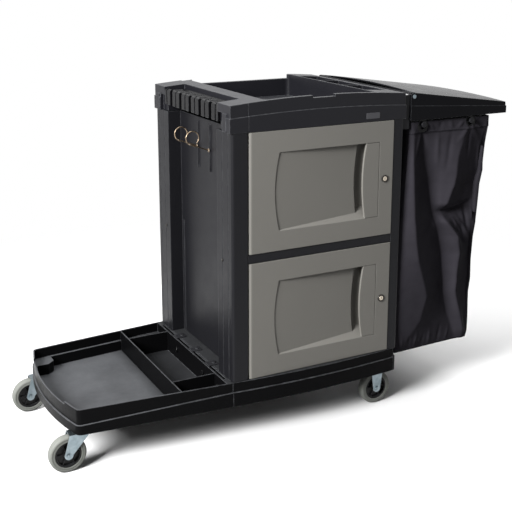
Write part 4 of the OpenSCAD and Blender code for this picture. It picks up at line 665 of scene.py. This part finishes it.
def bag_outline(level, lift=0.0):
    """One level's outline run round from the near left corner, folds and all, stood off by a lift."""
    ripple_height, end_slack = 0.0025, 0.003
    x0, x1, half, left_bend, right_bend = (
        np.interp(level, bag_levels, values)
        for values in (left_wall, right_wall, half_width, left_round, right_round))
    x1 = x1 + np.interp(level, *zip(*end_bumps)) / 1000.0
    fall = (bag_top - level) / (bag_top - bag_bottom)
    slack = math.sin(math.pi * min(max((fall - 0.04) / 0.95, 0.0), 1.0)) ** 0.6
    long_share = np.arange(long_columns) / long_columns
    end_share = np.arange(end_columns) / end_columns
    belly = np.interp(level, *zip(*end_belly)) / 1000.0
    shape = np.interp(end_share, (0.0, 0.25, 0.5, 0.75, 1.0), (0.0, 1.0, -1.0, 1.0, 0.0))
    ripple = ripple_height * slack * np.sin(19.0 * end_share + 6.0 * fall)
    end_form = belly * shape + ripple + crease_heights(end_creases, end_share, level, end_length) / 1000.0
    sides = (
        ((x0, -half), (x1, -half), (0.0, -1.0), long_share, fold_heights(long_share, level)),
        ((x1, -half), (x1, half), (1.0, 0.0), end_share, end_form),
        ((x1, half), (x0, half), (0.0, 1.0), long_share, fold_heights(1.0 - long_share, level)),
        ((x0, half), (x0, -half), (-1.0, 0.0), end_share, ripple - end_slack * slack),
    )
    outline = []
    for start, end, normal, shares, heights in sides:
        for share, height in zip(shares, heights):
            raw = np.array(start) + (np.array(end) - np.array(start)) * share
            bend = left_bend if raw[0] < (x0 + x1) / 2.0 else right_bend
            inner = np.clip(raw, (x0 + bend, -half + bend), (x1 - bend, half - bend))
            away = raw - inner
            direction = np.array(normal)
            if np.all(np.abs(away) > 1e-9):
                direction = away / np.linalg.norm(away)
                raw = inner + direction * bend
            outline.append(raw + direction * (height + lift))
    return np.array(outline)


def stretches(outline):
    """The lengths of an outline's legs, and the way run up to each corner."""
    legs = np.linalg.norm(np.roll(outline, -1, axis=0) - outline, axis=1)
    return legs, np.concatenate(((0.0,), np.cumsum(legs)))


bag_mesh = bpy.data.meshes.new("hung_bag")
bag_form = bmesh.new()
cloth_map = bag_form.loops.layers.uv.new("cloth")
hem_levels = [bag_top + (hem_edge - bag_top) * row / hem_rows for row in range(hem_rows + 1)]
fall_start = hem_edge - hem_drop
fall_levels = [fall_start + (bag_bottom - fall_start) * row / fall_rows for row in range(fall_rows + 1)]
levels = hem_levels + fall_levels
outlines = [bag_outline(level, hem_step) for level in hem_levels]
outlines += [bag_outline(level) for level in fall_levels]
rings = [
    [bag_form.verts.new((x, y, level)) for x, y in outline] for outline, level in zip(outlines, levels)]
total = len(rings[0])
_, along = stretches(outlines[0])
for row, (upper, lower) in enumerate(zip(rings, rings[1:])):
    for number in range(total):
        after = (number + 1) % total
        face = bag_form.faces.new((upper[number], lower[number], lower[after], upper[after]))
        corners = ((number, row), (number, row + 1), (number + 1, row + 1), (number + 1, row))
        for loop, (u, v) in zip(face.loops, corners):
            loop[cloth_map].uv = (along[u], levels[v])
bottom_rings, bottom_sag = (0.94, 0.80, 0.55, 0.28), 0.0008
middle = sum((vertex.co for vertex in rings[-1]), Vector()) / total
previous = rings[-1]
for shrink in bottom_rings:
    inner = []
    for vertex in rings[-1]:
        spot = middle + (vertex.co - middle) * shrink
        spot.z = bag_bottom - bottom_sag * (1.0 - shrink)
        inner.append(bag_form.verts.new(spot))
    for number in range(total):
        after = (number + 1) % total
        bag_form.faces.new((previous[number], inner[number], inner[after], previous[after]))
    previous = inner
bag_form.faces.new(previous)
for face in bag_form.faces:
    face.smooth = True
    if face.calc_center_median().z <= bag_bottom:
        for loop in face.loops:
            loop[cloth_map].uv = (loop.vert.co.x, loop.vert.co.y)
bmesh.ops.recalc_face_normals(bag_form, faces=bag_form.faces)

# Each eyelet is set in a round hole, cut wider than the pegs and hidden under the eyelet's flange.
eyelet_low, eyelet_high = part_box("bag_eyelets")
eyelet_flange, cut_radius = 0.019, 0.0145
eyelet_level = (eyelet_low[2] + eyelet_high[2]) / 2.0
eyelet_places = (eyelet_low[0] + eyelet_flange, eyelet_high[0] - eyelet_flange)
eyelet_side = half_width[-1] - 0.010


def by_eyelet(x, y, z, reach):
    """Whether a spot on the cloth lies within reach of an eyelet's middle."""
    nearest = min(math.hypot(x - spot, z - eyelet_level) for spot in eyelet_places)
    return abs(y) >= eyelet_side and nearest < reach


cut_out = [face for face in bag_form.faces if by_eyelet(*face.calc_center_median(), cut_radius)]
bmesh.ops.delete(bag_form, geom=cut_out, context="FACES")
bag_form.to_mesh(bag_mesh)
bag_form.free()
hung_bag = bpy.data.objects.new("hung_bag", bag_mesh)
scene.collection.objects.link(hung_bag)

bag_specular, thread_count = 0.004, 420.0
bag_nylon, tree, out = new_material("bag_nylon")
cloth = put(tree, "ShaderNodeUVMap", uv_map="cloth").outputs[0]
warp, weft = (
    put(tree, "ShaderNodeTexWave", {"Vector": cloth, "Scale": thread_count},
        bands_direction=way, wave_profile="SIN").outputs["Fac"]
    for way in ("X", "Y"))
weave = product(tree, warp, weft)
crinkle = noise(tree, cloth, 24.0, 3.0)
faded = blended(tree, crinkle, srgb(50, 48, 53), srgb(62, 60, 66))
sheen = ranged(tree, crinkle, 0.25, 0.75, 0.26, 0.40)
woven = bumped(tree, 0.05, 0.0004, weave, bumped(tree, 0.06, 0.004, crinkle))
surfaced(tree, out, faded, sheen, woven, Specular_IOR_Level=bag_specular)
bag_mesh.materials.append(bag_nylon)
thick = hung_bag.modifiers.new("cloth_thickness", "SOLIDIFY")
thick.thickness = 0.0012
thick.offset = -1.0
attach(hung_bag, "cart")
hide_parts("trash_bag")


# Hem stitches: one row of black thread sews the turned hem down, just above its lower edge, and stops short
# of the eyelets.
thread_roughness, thread_specular = 0.6, 0.1
hem_thread, tree, out = new_material("hem_thread")
twist = noise(tree, own_place(tree), 1500.0, 2.0)
ply = bumped(tree, 0.3, 0.0002, twist)
spun = blended(tree, twist, srgb(40, 39, 43), srgb(74, 72, 78))
surfaced(tree, out, spun, thread_roughness, ply, Specular_IOR_Level=thread_specular)
stitch_level, stitch_pitch, stitch_half, thread_radius = hem_edge + 0.0045, 0.006, 0.0021, 0.0005
stitch_clear, stitch_lift, stitch_sides, stitch_spread = 0.002, 0.0001, 6, 0.08
path = bag_outline(stitch_level, hem_step + stitch_lift)
legs, run = stretches(path)
stitch_spots, stitch_turns = [], []
for reach in np.arange(0.0, run[-1], stitch_pitch):
    number = min(int(np.searchsorted(run, reach, side="right")) - 1, len(path) - 1)
    leg = path[(number + 1) % len(path)] - path[number]
    x, y = path[number] + leg * (reach - run[number]) / legs[number]
    if by_eyelet(x, y, stitch_level, eyelet_flange + stitch_clear):
        continue
    stitch_spots.append((x, y, stitch_level))
    stitch_turns.append((math.pi / 2.0, 0.0, math.atan2(leg[1], leg[0]) + math.pi / 2.0))
stitch_profile = (
    (thread_radius * 0.5, -stitch_half), (thread_radius, -stitch_half * 0.6),
    (thread_radius, stitch_half * 0.6), (thread_radius * 0.5, stitch_half))
hem_stitches = repeated(
    "hem_stitches", stitch_spots, stitch_turns, turned_form(stitch_profile, stitch_sides), hem_thread,
    stitch_spread)
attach(hem_stitches, "cart")


# Eyelets: two-part black plastic rings pressed together through the hem, by which the bag hangs on the
# frame's pegs.
eyelet_black = moulded_plastic(
    "eyelet_black", srgb(9, 9, 10), wear_dust_and_highlight_grey, 0.26, 0.12, edge_wear_and_highlight=0.20, marks=0.0, radius=0.0008)
wear_finish(eyelet_black, "bag_eyelets")
